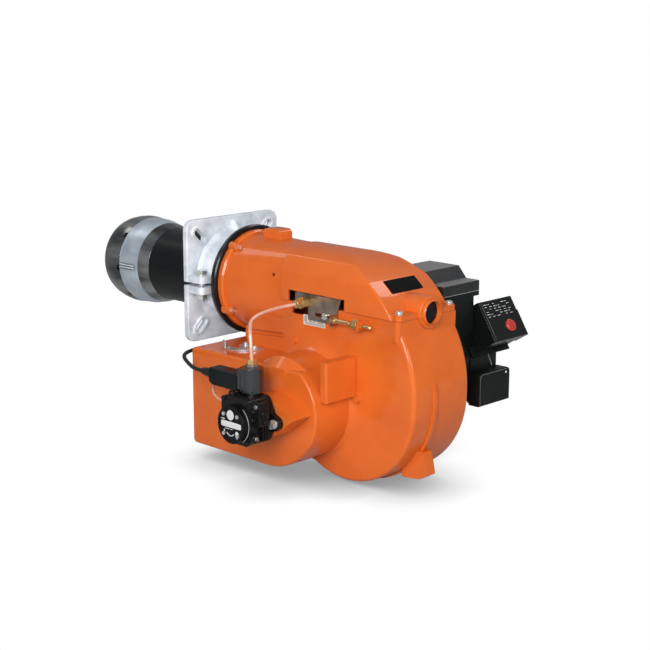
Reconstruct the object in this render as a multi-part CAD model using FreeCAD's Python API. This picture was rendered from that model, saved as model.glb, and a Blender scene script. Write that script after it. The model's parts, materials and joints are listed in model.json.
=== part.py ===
import FreeCAD, Part
import math
import os

V = FreeCAD.Vector

# Two-stage diesel burner, millimetres. The origin is the centre of the boiler flange's face,
# the blast tube points to -X, the fan casing lies to +X, +Z is up and the pump side is -Y.

# Boiler flange and its clamp
FLANGE_SIDE = 216.0
FLANGE_THICK = 10.0
FLANGE_CORNER = 17.0
HUB_LENGTH = 48.0
HUB_WALL = 9.0
CLAMP_FIT = 0.05
SPLIT_GAP = 6.0
SPLIT_Z = -2.0
EAR_THICK = 13.0
EAR_REACH = 31.0
RIB_THICK = 5.0
STUD_SPACING = 160.0
STUD_SLOT_WIDTH = 13.0
STUD_SLOT_LENGTH = 30.0
CLAMP_BOLT = 10.0
WASHER_R = 10.0
WASHER_THICK = 2.0

# Blast tube and combustion head
TUBE_OD = 134.0
TUBE_WALL = 2.0
TUBE_FRONT = -150.0
RING_FRONT = 54.0
RING_REAR = 67.7
RING_RADIUS = 96.5
HEAD_RADIUS = 82.0
HEAD_FRONT_RADIUS = 73.0
HEAD_SHOULDER = -236.0
HEAD_FRONT = -280.0
NOSE_SEAM = -220.0
BAND_SEAM = -174.0
NOTCH_TURNS = (139.0, 184.0, 228.0, 319.0, 4.0, 48.0)
HEAD_WALL = 2.5

# Main casing
WALL = 5.0
CASE_HALF = 67.0
SEAM_Z = -7.0
CASE_FRONT = 205.0
CASE_REAR = 470.0
SCROLL_X = 350.0
SCROLL_Z = -140.0
SCROLL_R = 150.5
LEDGE_Z = -27.0
NECK_RADIUS = 84.0
NECK_FLANGE_R = 89.0
NECK_FLANGE_THICK = 11.0
NECK_SCREW_R = 85.0
NECK_SCREW_TURNS = (40.0, 120.0)
NECK_END_HALF = CASE_HALF - 1.0
NECK_END_TOP = 78.0
NECK_END_LOW = -80.0

# Top cover
COVER_HALF = CASE_HALF + 3.0
COVER_WALL = 4.0
COVER_SHOULDER = 44.0
COVER_EDGE_Y = COVER_HALF - 17.0
COVER_EDGE_Z = 68.0
COVER_TOP = 82.0
SLOPE_START = 290.0
SLOPE_END_X = 443.0
SLOPE_END_Z = 9.0
SLOPE_LIFT = 0.4
COVER_FLANGE_TOP = 2.0
COVER_SCREW_X = 461.5
COVER_SCREW_Y = CASE_HALF - 7.0
COVER_BOSS_R = 8.5
WINDOW_FRONT = 223.0
WINDOW_REAR = 352.0
WINDOW_TOP = 12.0
SEAM_GAP = 0.3
BADGE_X = 416.0
BADGE_HALF = 37.0
BADGE_TALL = 27.0
BADGE_THICK = 1.0
PORT_OUTER = 21.0
PORT_INNER = 18.5
PORT_END = 480.0
PORT_START = 432.0
HOOD_R = 26.0

# Fan, motor and pump axis
AXIS_X = 283.0
AXIS_Z = -167.0
SHAFT_R = 6.35
FAN_R = 80.0
FAN_EYE = 60.0
FAN_FRONT = 21.0 - CASE_HALF
FAN_BACK = 16.0
BLADES = 36
BLADE_THICK = 0.8
EYE_R = 57.0
INLET_SEAT = 2.2
MOTOR_R = 62.0
MOTOR_START = CASE_HALF + SEAM_GAP
MOTOR_END = MOTOR_START + 158.7
MOTOR_PLATE_R = 96.0
MOTOR_PLATE_THICK = 7.0
MOTOR_WALL = 4.0
ROTOR_R = 29.5
AIR_GAP = 0.4

# Air intake box on the pump side
DRUM_R = 86.0
BOX_FRONT_X = 69.0
BOX_TOP = -97.0
BOX_LOW = AXIS_Z - DRUM_R - 14.0
BOX_Y = -152.0
BOX_INNER_Y = -20.0
BOX_CORNER = 8.0
DRUM_CHAMFER = 16.0
BOSS_Y = -190.0
DAMPER_X = 135.0
DAMPER_Y = -86.0
DAMPER_HALF = 54.0
DAMPER_SHAFT = 4.0
SECTOR_R = 40.0
SECTOR_SLOT_R = 31.2
JACK_ARM = 26.0
JACK_Z = -115.0

# Fuel pump and solenoid
PUMP_FACE = -255.0
PUMP_COVER_R = 31.0
PUMP_COVER_THICK = 11.0
PUMP_DROP = 4.0
PUMP_HUB_R = 27.0
PUMP_HALF = 33.0
COIL_Y = -208.0
COIL_R = 18.5
COIL_LOW = -125.0
COIL_TOP = -86.0
STEM_R = 7.0
PLUNGER_R = 4.0
PIPE_R = 3.0
PIPE_CUT_Y = -140.0
CABLE_R = 3.3

# Nozzle line
LINE_R = 8.0
HOLDER_HALF = 8.8
DISC_R = 52.0
DISC_X = -238.0
UNION_X = 263.0
UNION_Z = -4.0
PLATE_Y = -CASE_HALF - 2.0
PLATE_THICK = 1.5
LOCK_X = 310.0
LOCK_Z = -21.0
ADJUST_Y = PLATE_Y - 10.0
ADJUST_Z = -22.0
ADJUST_TAB_X = 337.0
HEAD_TRAVEL = 6.0
SPINDLE_R = 3.0

# Electrics on the motor side
PANEL_Y = CASE_HALF + 8.0
PANEL_END = 168.0
PANEL_REAR = 437.0
PANEL_FRONT = 318.0
PANEL_TOP = 44.0
PANEL_SEAM = 7.0
PANEL_LOW = -62.0
PANEL_LEDGE = 24.5
PANEL_LEDGE_X = 409.0
PANEL_SLOPE_X = 392.0
CONTROL_TOP_X = 443.0
CONTROL_TOP_Z = -12.0
CONTROL_TILT = 32.0
CONTROL_LENGTH = 73.0
CONTROL_DEPTH = 46.0
CONTROL_Y0 = 158.0
CONTROL_Y1 = 246.0
BUTTON_R = 11.0
BUTTON_TRAVEL = 3.0
SOCKET_DEPTH = 16.0
PLUG_LOW = -188.0
PLUG_TOP = -131.0
PLUG_NECK_TOP = -90.0

NODES = {}


def axis_vector(name):
    return {"x": V(1, 0, 0), "y": V(0, 1, 0), "z": V(0, 0, 1)}[name]


def rod(axis, u, v, radius, start, end):
    """A cylinder along an axis; u and v are the other two coordinates in x, y, z order."""
    places = {"x": V(start, u, v), "y": V(u, start, v), "z": V(u, v, start)}
    return Part.makeCylinder(radius, end - start, places[axis], axis_vector(axis))


def pipe_ring(axis, u, v, outer, inner, start, end):
    return rod(axis, u, v, outer, start, end).cut(rod(axis, u, v, inner, start - 1, end + 1))


def block(x0, x1, y0, y1, z0, z1):
    return Part.makeBox(x1 - x0, y1 - y0, z1 - z0, V(x0, y0, z0))


def fuse(shapes):
    result = shapes[0].multiFuse(shapes[1:]) if len(shapes) > 1 else shapes[0]
    return result.removeSplitter()


def prism(points, plane, start, end):
    """A polygon in a plane (xz, yz or xy) carried from start to end along the third axis."""
    makers = {
        "xz": lambda p: V(p[0], start, p[1]),
        "yz": lambda p: V(start, p[0], p[1]),
        "xy": lambda p: V(p[0], p[1], start),
    }
    along = {"xz": V(0, end - start, 0), "yz": V(end - start, 0, 0), "xy": V(0, 0, end - start)}
    corners = [makers[plane](p) for p in points]
    wire = Part.makePolygon(corners + corners[:1])
    return Part.Face(wire).extrude(along[plane])


def revolve(points, axis, u, v):
    """A closed profile of (along, radius) pairs turned about an axis through (u, v)."""
    makers = {
        "x": lambda p: V(p[0], u, v + p[1]),
        "y": lambda p: V(u, p[0], v + p[1]),
        "z": lambda p: V(u + p[1], v, p[0]),
    }
    centres = {"x": V(0, u, v), "y": V(u, 0, v), "z": V(u, v, 0)}
    corners = [makers[axis](p) for p in points]
    face = Part.Face(Part.makePolygon(corners + corners[:1]))
    solid = face.revolve(centres[axis], axis_vector(axis), 360)
    if solid.Volume < 0:
        solid.reverse()
    return solid


def hexagon(axis, u, v, flats, start, end):
    """A hexagonal prism, such as a nut or a bolt head."""
    reach = flats / 2 / math.cos(math.radians(30))
    turns = [math.radians(60 * k + 30) for k in range(6)]
    planes = {"x": "yz", "y": "xz", "z": "xy"}
    points = [(u + reach * math.cos(t), v + reach * math.sin(t)) for t in turns]
    return prism(points, planes[axis], start, end)


def edges_where(shape, test):
    return [e for e in shape.Edges if test(e)]


def straight_along(edge, axis):
    if not isinstance(edge.Curve, Part.Line):
        return False
    return abs(edge.Curve.Direction.dot(axis_vector(axis))) > 0.999


def round_edges(shape, radius, test):
    chosen = edges_where(shape, test)
    return shape.makeFillet(radius, chosen)


def rounded_block(x0, x1, y0, y1, z0, z1, axis, radius):
    shape = block(x0, x1, y0, y1, z0, z1)
    return round_edges(shape, radius, lambda e: straight_along(e, axis))


def routed_tube(points, radius):
    """Straight runs joined by tangent arcs. Each arc is as large as its two runs allow."""
    places = [V(*p) for p in points]
    edges = []
    radii = []
    last = places[0]
    for before, corner, after in zip(places, places[1:], places[2:]):
        into = (corner - before)
        out = (after - corner)
        shorter = min(into.Length, out.Length)
        turn = into.getAngle(out)
        setback = 0.45 * shorter
        radii.append(round(setback / math.tan(turn / 2), 1))
        into.normalize()
        out.normalize()
        start = corner - into * setback
        end = corner + out * setback
        inward = (out - into).normalize()
        bend = setback / math.tan(turn / 2)
        middle = corner + inward * (bend / math.cos(turn / 2) - bend)
        edges.append(Part.LineSegment(last, start).toShape())
        edges.append(Part.Arc(start, middle, end).toShape())
        last = end
    edges.append(Part.LineSegment(last, places[-1]).toShape())
    path = Part.Wire(edges)
    heading = (places[1] - places[0]).normalize()
    ring = Part.Wire([Part.Circle(places[0], heading, radius).toShape()])
    tube = path.makePipeShell([ring], True, True)
    expected = math.pi * radius ** 2 * path.Length
    return tube, radii, tube.Volume / expected, path.Length


def add(name, shape):
    NODES[name] = shape


def pan_head(x, y, z, radius, height, cross=True):
    """A pan head screw with its shank going down."""
    head = rod("z", x, y, radius, z, z + height)
    head = round_edges(head, height * 0.45, lambda e: e.BoundBox.ZMin > z + height - 0.01)
    if cross:
        arm = radius * 0.55
        wide = radius * 0.14
        depth = height * 0.5
        slot_a = block(x - arm, x + arm, y - wide, y + wide, z + height - depth, z + height + 1)
        slot_b = block(x - wide, x + wide, y - arm, y + arm, z + height - depth, z + height + 1)
        head = head.cut(slot_a.fuse(slot_b))
    return head


# Boiler flange

def diagonal_slot(y, z):
    """A stud slot that points at the centre of the flange."""
    out = V(0, y, z).normalize()
    reach = (STUD_SLOT_LENGTH - STUD_SLOT_WIDTH) / 2
    half = STUD_SLOT_WIDTH / 2
    ends = [V(-1, y, z) + out * reach, V(-1, y, z) - out * reach]
    deep = FLANGE_THICK + 2
    shapes = [Part.makeCylinder(half, deep, e, V(1, 0, 0)) for e in ends]
    side = V(0, -out.z, out.y) * half
    corners = [ends[0] + side, ends[0] - side, ends[1] - side, ends[1] + side]
    bar = Part.Face(Part.makePolygon(corners + corners[:1])).extrude(V(deep, 0, 0))
    return fuse(shapes + [bar])


def slot_rim(y, z):
    """The raised rim that is cast round a stud slot."""
    out = V(0, y, z).normalize()
    reach = (STUD_SLOT_LENGTH - STUD_SLOT_WIDTH) / 2
    half = STUD_SLOT_WIDTH / 2 + 4
    base = V(FLANGE_THICK - 1, y, z)
    ends = [base + out * reach, base - out * reach]
    deep = 4.0
    shapes = [Part.makeCylinder(half, deep, e, V(1, 0, 0)) for e in ends]
    side = V(0, -out.z, out.y) * half
    corners = [ends[0] + side, ends[0] - side, ends[1] - side, ends[1] + side]
    bar = Part.Face(Part.makePolygon(corners + corners[:1])).extrude(V(deep, 0, 0))
    return fuse(shapes + [bar])


def build_flange():
    half = FLANGE_SIDE / 2
    bore = TUBE_OD / 2 + CLAMP_FIT
    hub_r = bore + HUB_WALL
    plate = rounded_block(0, FLANGE_THICK, -half, half, -half, half, "x", FLANGE_CORNER)
    outer_edge = lambda e: abs(e.BoundBox.XMin - FLANGE_THICK) < 0.01 and e.BoundBox.XLength < 0.01
    plate = round_edges(plate, 2.5, outer_edge)
    hub_low = FLANGE_THICK - 2
    hub = revolve([(hub_low, 0), (hub_low, hub_r + 14), (FLANGE_THICK + 6, hub_r + 7),
                   (HUB_LENGTH, hub_r), (HUB_LENGTH, 0)], "x", 0, 0)
    ear_y = -(hub_r + EAR_REACH)
    ear_top = SPLIT_Z + SPLIT_GAP / 2 + EAR_THICK
    ear_low = SPLIT_Z - SPLIT_GAP / 2 - EAR_THICK
    ears = block(hub_low, HUB_LENGTH - 2, ear_y, -bore, ear_low, ear_top)
    ears = round_edges(ears, 8.0, lambda e: straight_along(e, "z") and e.BoundBox.XMin > HUB_LENGTH - 3
                       and e.BoundBox.YMin < ear_y + 1)
    ribs = []
    for turn in (0, 90, 270):
        rib = prism([(hub_low, 0), (HUB_LENGTH - 12, 0), (HUB_LENGTH - 12, hub_r - 2),
                     (FLANGE_THICK + 2, half - 7), (hub_low, half - 7)], "xy", -RIB_THICK / 2, RIB_THICK / 2)
        rib.rotate(V(0, 0, 0), V(1, 0, 0), turn)
        ribs.append(rib)
    square = [(-1, 1), (1, 1), (1, -1), (-1, -1)]
    centre = STUD_SPACING / 2
    rims = [slot_rim(centre * a, centre * b) for a, b in square]
    body = fuse([plate, hub, ears] + ribs + rims)
    body = body.cut(rod("x", 0, 0, bore, -1, HUB_LENGTH + 1))
    for a, b in square:
        slot = diagonal_slot(centre * a, centre * b)
        slot = slot.fuse(slot.translated(V(FLANGE_THICK - 2, 0, 0)))
        body = body.cut(slot)
    body = body.cut(block(-1, HUB_LENGTH + 1, -half - 1, -bore + 4, SPLIT_Z - SPLIT_GAP / 2,
                          SPLIT_Z + SPLIT_GAP / 2))
    bolt_y = ear_y + EAR_REACH / 2 - 1
    bolt_x = (FLANGE_THICK + HUB_LENGTH) / 2
    body = body.cut(rod("z", bolt_x, bolt_y, CLAMP_BOLT / 2 + 0.3, ear_low - 1, ear_top + 1))
    add("boiler_flange", body)
    head_low = ear_top + WASHER_THICK
    nut_top = ear_low - WASHER_THICK
    bolt = fuse([
        rod("z", bolt_x, bolt_y, CLAMP_BOLT / 2, nut_top - 10, ear_top + 1),
        hexagon("z", bolt_x, bolt_y, 17.0, head_low, head_low + 6.5),
        rod("z", bolt_x, bolt_y, WASHER_R, ear_top, head_low),
    ])
    nut = hexagon("z", bolt_x, bolt_y, 17.0, nut_top - 8, nut_top)
    nut = nut.fuse(rod("z", bolt_x, bolt_y, WASHER_R, nut_top, ear_low))
    nut = nut.cut(rod("z", bolt_x, bolt_y, CLAMP_BOLT / 2, nut_top - 20, ear_top))
    add("clamp_bolt", Part.makeCompound([bolt, nut]))


# Blast tube and combustion head

def build_head():
    outer = TUBE_OD / 2
    inner = outer - TUBE_WALL
    tube = pipe_ring("x", 0, 0, outer, inner, TUBE_FRONT, RING_REAR)
    add("blast_tube", tube)
    ring_bore = outer + 0.05
    ring = revolve([(RING_FRONT + 3, ring_bore), (RING_FRONT, ring_bore + 4), (RING_FRONT, RING_RADIUS - 6),
                    (RING_FRONT + 1.5, RING_RADIUS - 2), (RING_FRONT + 5, RING_RADIUS),
                    (RING_REAR - 2, RING_RADIUS), (RING_REAR, RING_RADIUS - 2), (RING_REAR, ring_bore)],
                   "x", 0, 0)
    add("tube_ring", ring)
    socket = inner - 0.05
    taper_start = TUBE_FRONT + 12
    crimp = revolve([(taper_start + 12, socket), (taper_start + 12, socket - HEAD_WALL),
                     (TUBE_FRONT, socket - HEAD_WALL), (BAND_SEAM, outer + 5),
                     (BAND_SEAM, outer + 5 + HEAD_WALL),
                     (TUBE_FRONT - 0.3, outer + 0.6), (TUBE_FRONT - 0.3, socket)], "x", 0, 0)
    add("head_taper", crimp)
    step = BAND_SEAM - 0.3
    seam_r = HEAD_RADIUS - 1.4
    band_middle = (BAND_SEAM + NOSE_SEAM) / 2
    middle_r = (outer + 5.2 + HEAD_WALL + seam_r) / 2 + 1.8
    band = revolve([(step, outer + 5.2), (step, outer + 5.2 + HEAD_WALL), (band_middle, middle_r),
                    (NOSE_SEAM, seam_r), (NOSE_SEAM, seam_r - HEAD_WALL),
                    (band_middle, middle_r - HEAD_WALL)], "x", 0, 0)
    add("head_band", band)
    tip = NOSE_SEAM - 0.3
    nose = revolve([(tip, seam_r - HEAD_WALL), (tip, seam_r), (HEAD_SHOULDER + 4, HEAD_RADIUS),
                    (HEAD_SHOULDER - 4, HEAD_RADIUS), (HEAD_SHOULDER - 16, HEAD_RADIUS - 1.6),
                    (HEAD_FRONT + 15, HEAD_RADIUS - 4.8), (HEAD_FRONT + 6, HEAD_FRONT_RADIUS + 0.5),
                    (HEAD_FRONT, HEAD_FRONT_RADIUS - 5), (HEAD_FRONT, HEAD_FRONT_RADIUS - 9),
                    (HEAD_FRONT + 3, HEAD_FRONT_RADIUS - 11), (HEAD_FRONT + 6, HEAD_FRONT_RADIUS - 11),
                    (HEAD_FRONT + 7, HEAD_FRONT_RADIUS - 5), (HEAD_FRONT + 17, HEAD_RADIUS - 8),
                    (HEAD_SHOULDER - 16, HEAD_RADIUS - 1.6 - HEAD_WALL),
                    (HEAD_SHOULDER, HEAD_RADIUS - HEAD_WALL)], "x", 0, 0)
    for turn in NOTCH_TURNS:
        notch = block(NOSE_SEAM - 8, NOSE_SEAM + 1, HEAD_RADIUS - 8, HEAD_RADIUS + 2, -5, 5)
        notch.rotate(V(0, 0, 0), V(1, 0, 0), turn)
        nose = nose.cut(notch)
    for k in range(8):
        angle = math.radians(45 * k + 22.5)
        y = (HEAD_FRONT_RADIUS - 7) * math.cos(angle)
        z = (HEAD_FRONT_RADIUS - 7) * math.sin(angle)
        nose = nose.cut(rod("x", y, z, 2.4, HEAD_FRONT - 1, HEAD_FRONT + 9))
    add("head_nose", nose)


# Main casing

def casing_outline():
    """Side outline of the fan casing: a spiral made of three arcs, open to the top cover."""
    y = -CASE_HALF
    low = math.radians(-117)
    mid = math.radians(-58)
    start = V(CASE_FRONT, y, SEAM_Z)
    neck = V(CASE_FRONT, y, NECK_END_LOW)
    left = V(AXIS_X - 95, y, AXIS_Z + 45)
    left_mid = V(AXIS_X - 76, y, AXIS_Z - 61)
    bottom = V(SCROLL_X + SCROLL_R * math.cos(low), y, SCROLL_Z + SCROLL_R * math.sin(low))
    low_mid = V(SCROLL_X + SCROLL_R * math.cos(mid), y, SCROLL_Z + SCROLL_R * math.sin(mid))
    right = V(SCROLL_X + SCROLL_R, y, SCROLL_Z)
    right_mid = V(CASE_REAR + 24, y, SCROLL_Z + 60)
    ledge = V(CASE_REAR, y, LEDGE_Z)
    top = V(CASE_REAR, y, SEAM_Z)
    return Part.Wire([
        Part.LineSegment(start, neck).toShape(),
        Part.LineSegment(neck, left).toShape(),
        Part.Arc(left, left_mid, bottom).toShape(),
        Part.Arc(bottom, low_mid, right).toShape(),
        Part.Arc(right, right_mid, ledge).toShape(),
        Part.LineSegment(ledge, top).toShape(),
        Part.LineSegment(top, start).toShape(),
    ])


def neck_section(x, half, top, low, power, inset):
    """A closed superellipse across the neck; power 2 is a circle, larger is squarer."""
    centre = (top + low) / 2
    tall = (top - low) / 2 - inset
    wide = half - inset
    points = []
    count = 24
    for k in range(count):
        angle = 2 * math.pi * (k + 0.5) / count
        c = math.cos(angle)
        s = math.sin(angle)
        y = wide * math.copysign(abs(c) ** (2 / power), c)
        z = centre + tall * math.copysign(abs(s) ** (2 / power), s)
        points.append(V(x, y, z))
    curve = Part.BSplineCurve()
    curve.interpolate(points, PeriodicFlag=True)
    return Part.Wire([curve.toShape()])


def neck_solid(inset, start, end):
    radius = NECK_RADIUS
    middle = (start + end) / 2
    sections = [
        neck_section(start, radius, radius, -radius, 2.0, inset),
        neck_section(middle, (radius + NECK_END_HALF) / 2, (radius + NECK_END_TOP) / 2,
                     (NECK_END_LOW - radius) / 2, 2.3, inset),
        neck_section(end, NECK_END_HALF, NECK_END_TOP, NECK_END_LOW, 3.2, inset),
    ]
    return Part.makeLoft(sections, True)


def box_outline(inset):
    """Outline of the air intake box in the XZ plane."""
    x0 = BOX_FRONT_X + inset
    z0 = BOX_LOW + inset
    z1 = BOX_TOP - inset
    radius = DRUM_R - inset
    flat_end = AXIS_X - 30
    touch = math.radians(-48)
    meet = (AXIS_X + radius * math.cos(touch), AXIS_Z + radius * math.sin(touch))
    y = 0
    p0 = V(x0, y, z1)
    p1 = V(x0, y, z0)
    p2 = V(flat_end, y, z0)
    bulge = V(AXIS_X + 6, y, z0 + 5)
    p3 = V(meet[0], y, meet[1])
    side = V(AXIS_X + radius, y, AXIS_Z)
    top_angle = math.asin((z1 - AXIS_Z) / radius)
    p4 = V(AXIS_X + radius * math.cos(top_angle), y, z1)
    return Part.Wire([
        Part.LineSegment(p0, p1).toShape(),
        Part.LineSegment(p1, p2).toShape(),
        Part.Arc(p2, bulge, p3).toShape(),
        Part.Arc(p3, side, p4).toShape(),
        Part.LineSegment(p4, p0).toShape(),
    ])


def box_solid(inset, front, back):
    face = Part.Face(box_outline(inset))
    face.translate(V(0, front, 0))
    return face.extrude(V(0, back - front, 0))


def build_casing():
    outline = casing_outline()
    face = Part.Face(outline)
    scroll = face.extrude(V(0, 2 * CASE_HALF, 0))
    rim = lambda e: e.BoundBox.YLength < 0.01 and not straight_along(e, "x") and not straight_along(e, "z")
    scroll = round_edges(scroll, 7.0, lambda e: rim(e) and isinstance(e.Curve, Part.Circle))
    neck_start = RING_REAR + SEAM_GAP
    flange_end = neck_start + NECK_FLANGE_THICK
    neck = neck_solid(0, neck_start, CASE_FRONT + 1)
    neck = neck.cut(block(CASE_FRONT - SEAM_GAP, CASE_FRONT + 9, -100, 100, SEAM_Z, 100))
    neck_flange = revolve([(neck_start, 0), (neck_start, NECK_FLANGE_R), (flange_end - 3, NECK_FLANGE_R),
                           (flange_end, NECK_FLANGE_R - 3), (flange_end, 0)], "x", 0, 0)
    bosses = []
    screws = [(s * NECK_SCREW_R * math.sin(math.radians(t)), NECK_SCREW_R * math.cos(math.radians(t)))
              for s in (-1, 1) for t in NECK_SCREW_TURNS]
    for y, z in screws:
        bosses.append(rod("x", y, z, 9.0, neck_start, flange_end + 6))
    box = box_solid(0, BOX_Y, BOX_INNER_Y)
    front_edge = lambda e: e.BoundBox.YMax < BOX_Y + 0.01 and e.BoundBox.YLength < 0.01
    box = round_edges(box, BOX_CORNER, lambda e: straight_along(e, "y") and e.BoundBox.XMax < BOX_FRONT_X + 1)
    box = round_edges(box, 4.0, lambda e: front_edge(e) and e.BoundBox.XMin < AXIS_X - 100)
    drum_back = -CASE_HALF + 2
    drum = revolve([(drum_back, 0), (drum_back, DRUM_R + 10), (-CASE_HALF, DRUM_R + 10),
                    (-CASE_HALF - 3, DRUM_R + 5), (-CASE_HALF - 9, DRUM_R), (BOX_Y + DRUM_CHAMFER, DRUM_R),
                    (BOX_Y, DRUM_R - DRUM_CHAMFER), (BOX_Y, 0)], "y", AXIS_X, AXIS_Z)
    corner_x = AXIS_X + DRUM_R
    corner = rounded_block(corner_x - 7, corner_x + 9, BOX_Y + 15, -CASE_HALF + 1, AXIS_Z + 25, AXIS_Z + 91,
                           "z", 4.0)
    corner_boss = rod("y", corner_x + 10, AXIS_Z + 20, 7.0, -CASE_HALF - 5, -CASE_HALF + 1)
    boss_low = BOX_Y + 6
    boss = prism([(AXIS_X - 52, AXIS_Z + 5), (AXIS_X - 18, AXIS_Z + 29), (AXIS_X + 16, AXIS_Z + 29),
                  (AXIS_X + 65, AXIS_Z + 12), (AXIS_X + 75, AXIS_Z + 4), (AXIS_X + 30, AXIS_Z - 30),
                  (AXIS_X - 30, AXIS_Z - 30)], "xz", BOSS_Y, boss_low)
    port_hood = rod("x", 0, 0, HOOD_R, CASE_REAR - 45, CASE_REAR + 5)
    port_hood = port_hood.common(block(0, 600, -60, 60, -60, SEAM_Z))
    screw_bosses = [rod("z", COVER_SCREW_X, s * COVER_SCREW_Y, COVER_BOSS_R, LEDGE_Z - 14, SEAM_Z)
                    for s in (-1, 1)]
    rib_r = SCROLL_R + 3.5
    rib = rod("y", SCROLL_X, SCROLL_Z, rib_r, -22, -14)
    rib = rib.common(block(SCROLL_X + 20, 600, -60, 60, SCROLL_Z - 200, SCROLL_Z + 30))
    foot = prism([(444, -222), (444, -271), (480, -268), (496, -259), (488, -222)], "xz", -30, -8)
    cheek = prism([(CASE_FRONT + 2, -40), (CASE_FRONT + 2, BOX_TOP - 2), (DAMPER_X - 14, BOX_TOP - 2),
                   (DAMPER_X - 22, BOX_TOP + 13), (DAMPER_X - 20, BOX_TOP + 30), (DAMPER_X + 20, -40)], "xz",
                  -CASE_HALF, -CASE_HALF + 14)
    cheek_boss = rod("y", CASE_FRONT + 30, BOX_TOP + 24, 6.0, -CASE_HALF - 3, -CASE_HALF + 1)
    lug = round_edges(block(104, 147, -14, 14, 70, 97), 9.0,
                      lambda e: straight_along(e, "y") and e.BoundBox.ZMin > 90)
    body = fuse([scroll, neck, neck_flange, box, drum, corner, corner_boss, boss, port_hood, rib, foot, lug,
                 cheek, cheek_boss, adjuster_stay()] + bosses + screw_bosses)

    inner = face.makeOffset2D(-WALL)
    volute = inner.extrude(V(0, 2 * (CASE_HALF - WALL), 0))
    volute.translate(V(0, WALL, 0))
    open_top = block(CASE_FRONT + WALL, CASE_REAR - WALL, -CASE_HALF + WALL, CASE_HALF - WALL,
                     SEAM_Z - 15, SEAM_Z + 1)
    bore = neck_solid(WALL, neck_start, CASE_FRONT + WALL + 2)
    mouth = rod("x", 0, 0, TUBE_OD / 2 - TUBE_WALL, neck_start - 1, neck_start + 20)
    duct = box_solid(WALL, BOX_Y + WALL, -CASE_HALF - INLET_SEAT)
    entry = block(BOX_FRONT_X - 1, AXIS_X - 100, BOX_Y + WALL, BOX_INNER_Y - WALL, BOX_LOW + WALL,
                  BOX_TOP - WALL)
    drum_room = rod("y", AXIS_X, AXIS_Z, DRUM_R - WALL - 14, BOX_Y + WALL, -CASE_HALF - INLET_SEAT)
    eye = rod("y", AXIS_X, AXIS_Z, EYE_R + 6, -CASE_HALF - 4, -CASE_HALF + WALL + 1)
    hub_hole = rod("y", AXIS_X, AXIS_Z, PUMP_HUB_R + 0.1, BOSS_Y - 1, BOX_Y + WALL + 1)
    motor_hole = rod("y", AXIS_X, AXIS_Z, FAN_R + 5, CASE_HALF - WALL - 1, CASE_HALF + 1)
    port_hole = rod("x", 0, 0, PORT_OUTER + 0.1, CASE_REAR - 60, CASE_REAR + 6)
    gauge_hole = rod("y", 184, 31, 3.2, -90, -40)
    window = block(WINDOW_FRONT + 6, WINDOW_REAR - 18, -CASE_HALF - 1, -CASE_HALF + WALL + 1,
                   SEAM_Z - 20, SEAM_Z + 1)
    damper_hole = rod("z", DAMPER_X, DAMPER_Y, DAMPER_SHAFT + 0.05, BOX_LOW - 1, BOX_TOP + 1)
    for cutter in (volute, open_top, bore, mouth, duct.common(block(0, 400, -200, 0, -400, 0)), entry,
                   drum_room, eye, hub_hole, motor_hole, port_hole, gauge_hole, window, damper_hole):
        body = body.cut(cutter)
    pivot = rod("z", DAMPER_X, DAMPER_Y, 9.0, BOX_LOW + 1, BOX_LOW + WALL + 6)
    pivot = pivot.cut(rod("z", DAMPER_X, DAMPER_Y, DAMPER_SHAFT + 0.05, BOX_LOW - 1, BOX_LOW + 20))
    body = body.fuse(pivot)
    body = body.cut(cheek_slot())
    for y, z in screws:
        body = body.cut(rod("x", y, z, 5.2, flange_end + 6, flange_end + 18))
    add("fan_casing", max(body.Solids, key=lambda s: s.Volume))
    heads = []
    for y, z in screws:
        heads.append(hexagon("x", y, z, 8.0, flange_end + 6, flange_end + 10))
    return heads


def cheek_slot():
    """The long pocket in the cheek between the neck and the intake box."""
    start = V(DAMPER_X - 13, -CASE_HALF - 1, BOX_TOP + 22)
    end = V(CASE_FRONT + 1, -CASE_HALF - 1, BOX_TOP + 28)
    half = 4.0
    deep = 7.0
    across = (end - start).cross(V(0, 1, 0)).normalize() * half
    corners = [start + across, start - across, end - across, end + across]
    bar = Part.Face(Part.makePolygon(corners + corners[:1])).extrude(V(0, deep, 0))
    return fuse([bar] + [Part.makeCylinder(half, deep, place, V(0, 1, 0)) for place in (start, end)])


def adjuster_stay():
    """The small bracket on the casing side that carries the end of the head adjuster."""
    start = ADJUST_TAB_X + 57
    stay = fuse([block(start, start + 2.5, ADJUST_Y - 7, -CASE_HALF, ADJUST_Z - 8, ADJUST_Z + 8),
                 block(start, start + 14, -CASE_HALF - 2, -CASE_HALF + 1, ADJUST_Z - 8, ADJUST_Z + 8),
                 hexagon("x", ADJUST_Y, ADJUST_Z, 10.0, start + 2.5, start + 7)])
    return stay.cut(rod("x", ADJUST_Y, ADJUST_Z, SPINDLE_R + 0.35, start - 5, start + 20))


# Top cover

def cover_section(inset, start):
    half = COVER_HALF - inset
    shoulder = COVER_SHOULDER - inset * 0.4
    edge_y = COVER_EDGE_Y - inset * 0.7
    edge_z = COVER_EDGE_Z - inset
    low = SEAM_Z + SEAM_GAP - (20 if inset else 0)
    p = [V(start, -half, low), V(start, -half, shoulder), V(start, -edge_y, edge_z),
         V(start, edge_y, edge_z), V(start, half, shoulder), V(start, half, low)]
    crown = V(start, 0, COVER_TOP - inset)
    return Part.Wire([
        Part.LineSegment(p[0], p[1]).toShape(),
        Part.LineSegment(p[1], p[2]).toShape(),
        Part.Arc(p[2], crown, p[3]).toShape(),
        Part.LineSegment(p[3], p[4]).toShape(),
        Part.LineSegment(p[4], p[5]).toShape(),
        Part.LineSegment(p[5], p[0]).toShape(),
    ])


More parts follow.
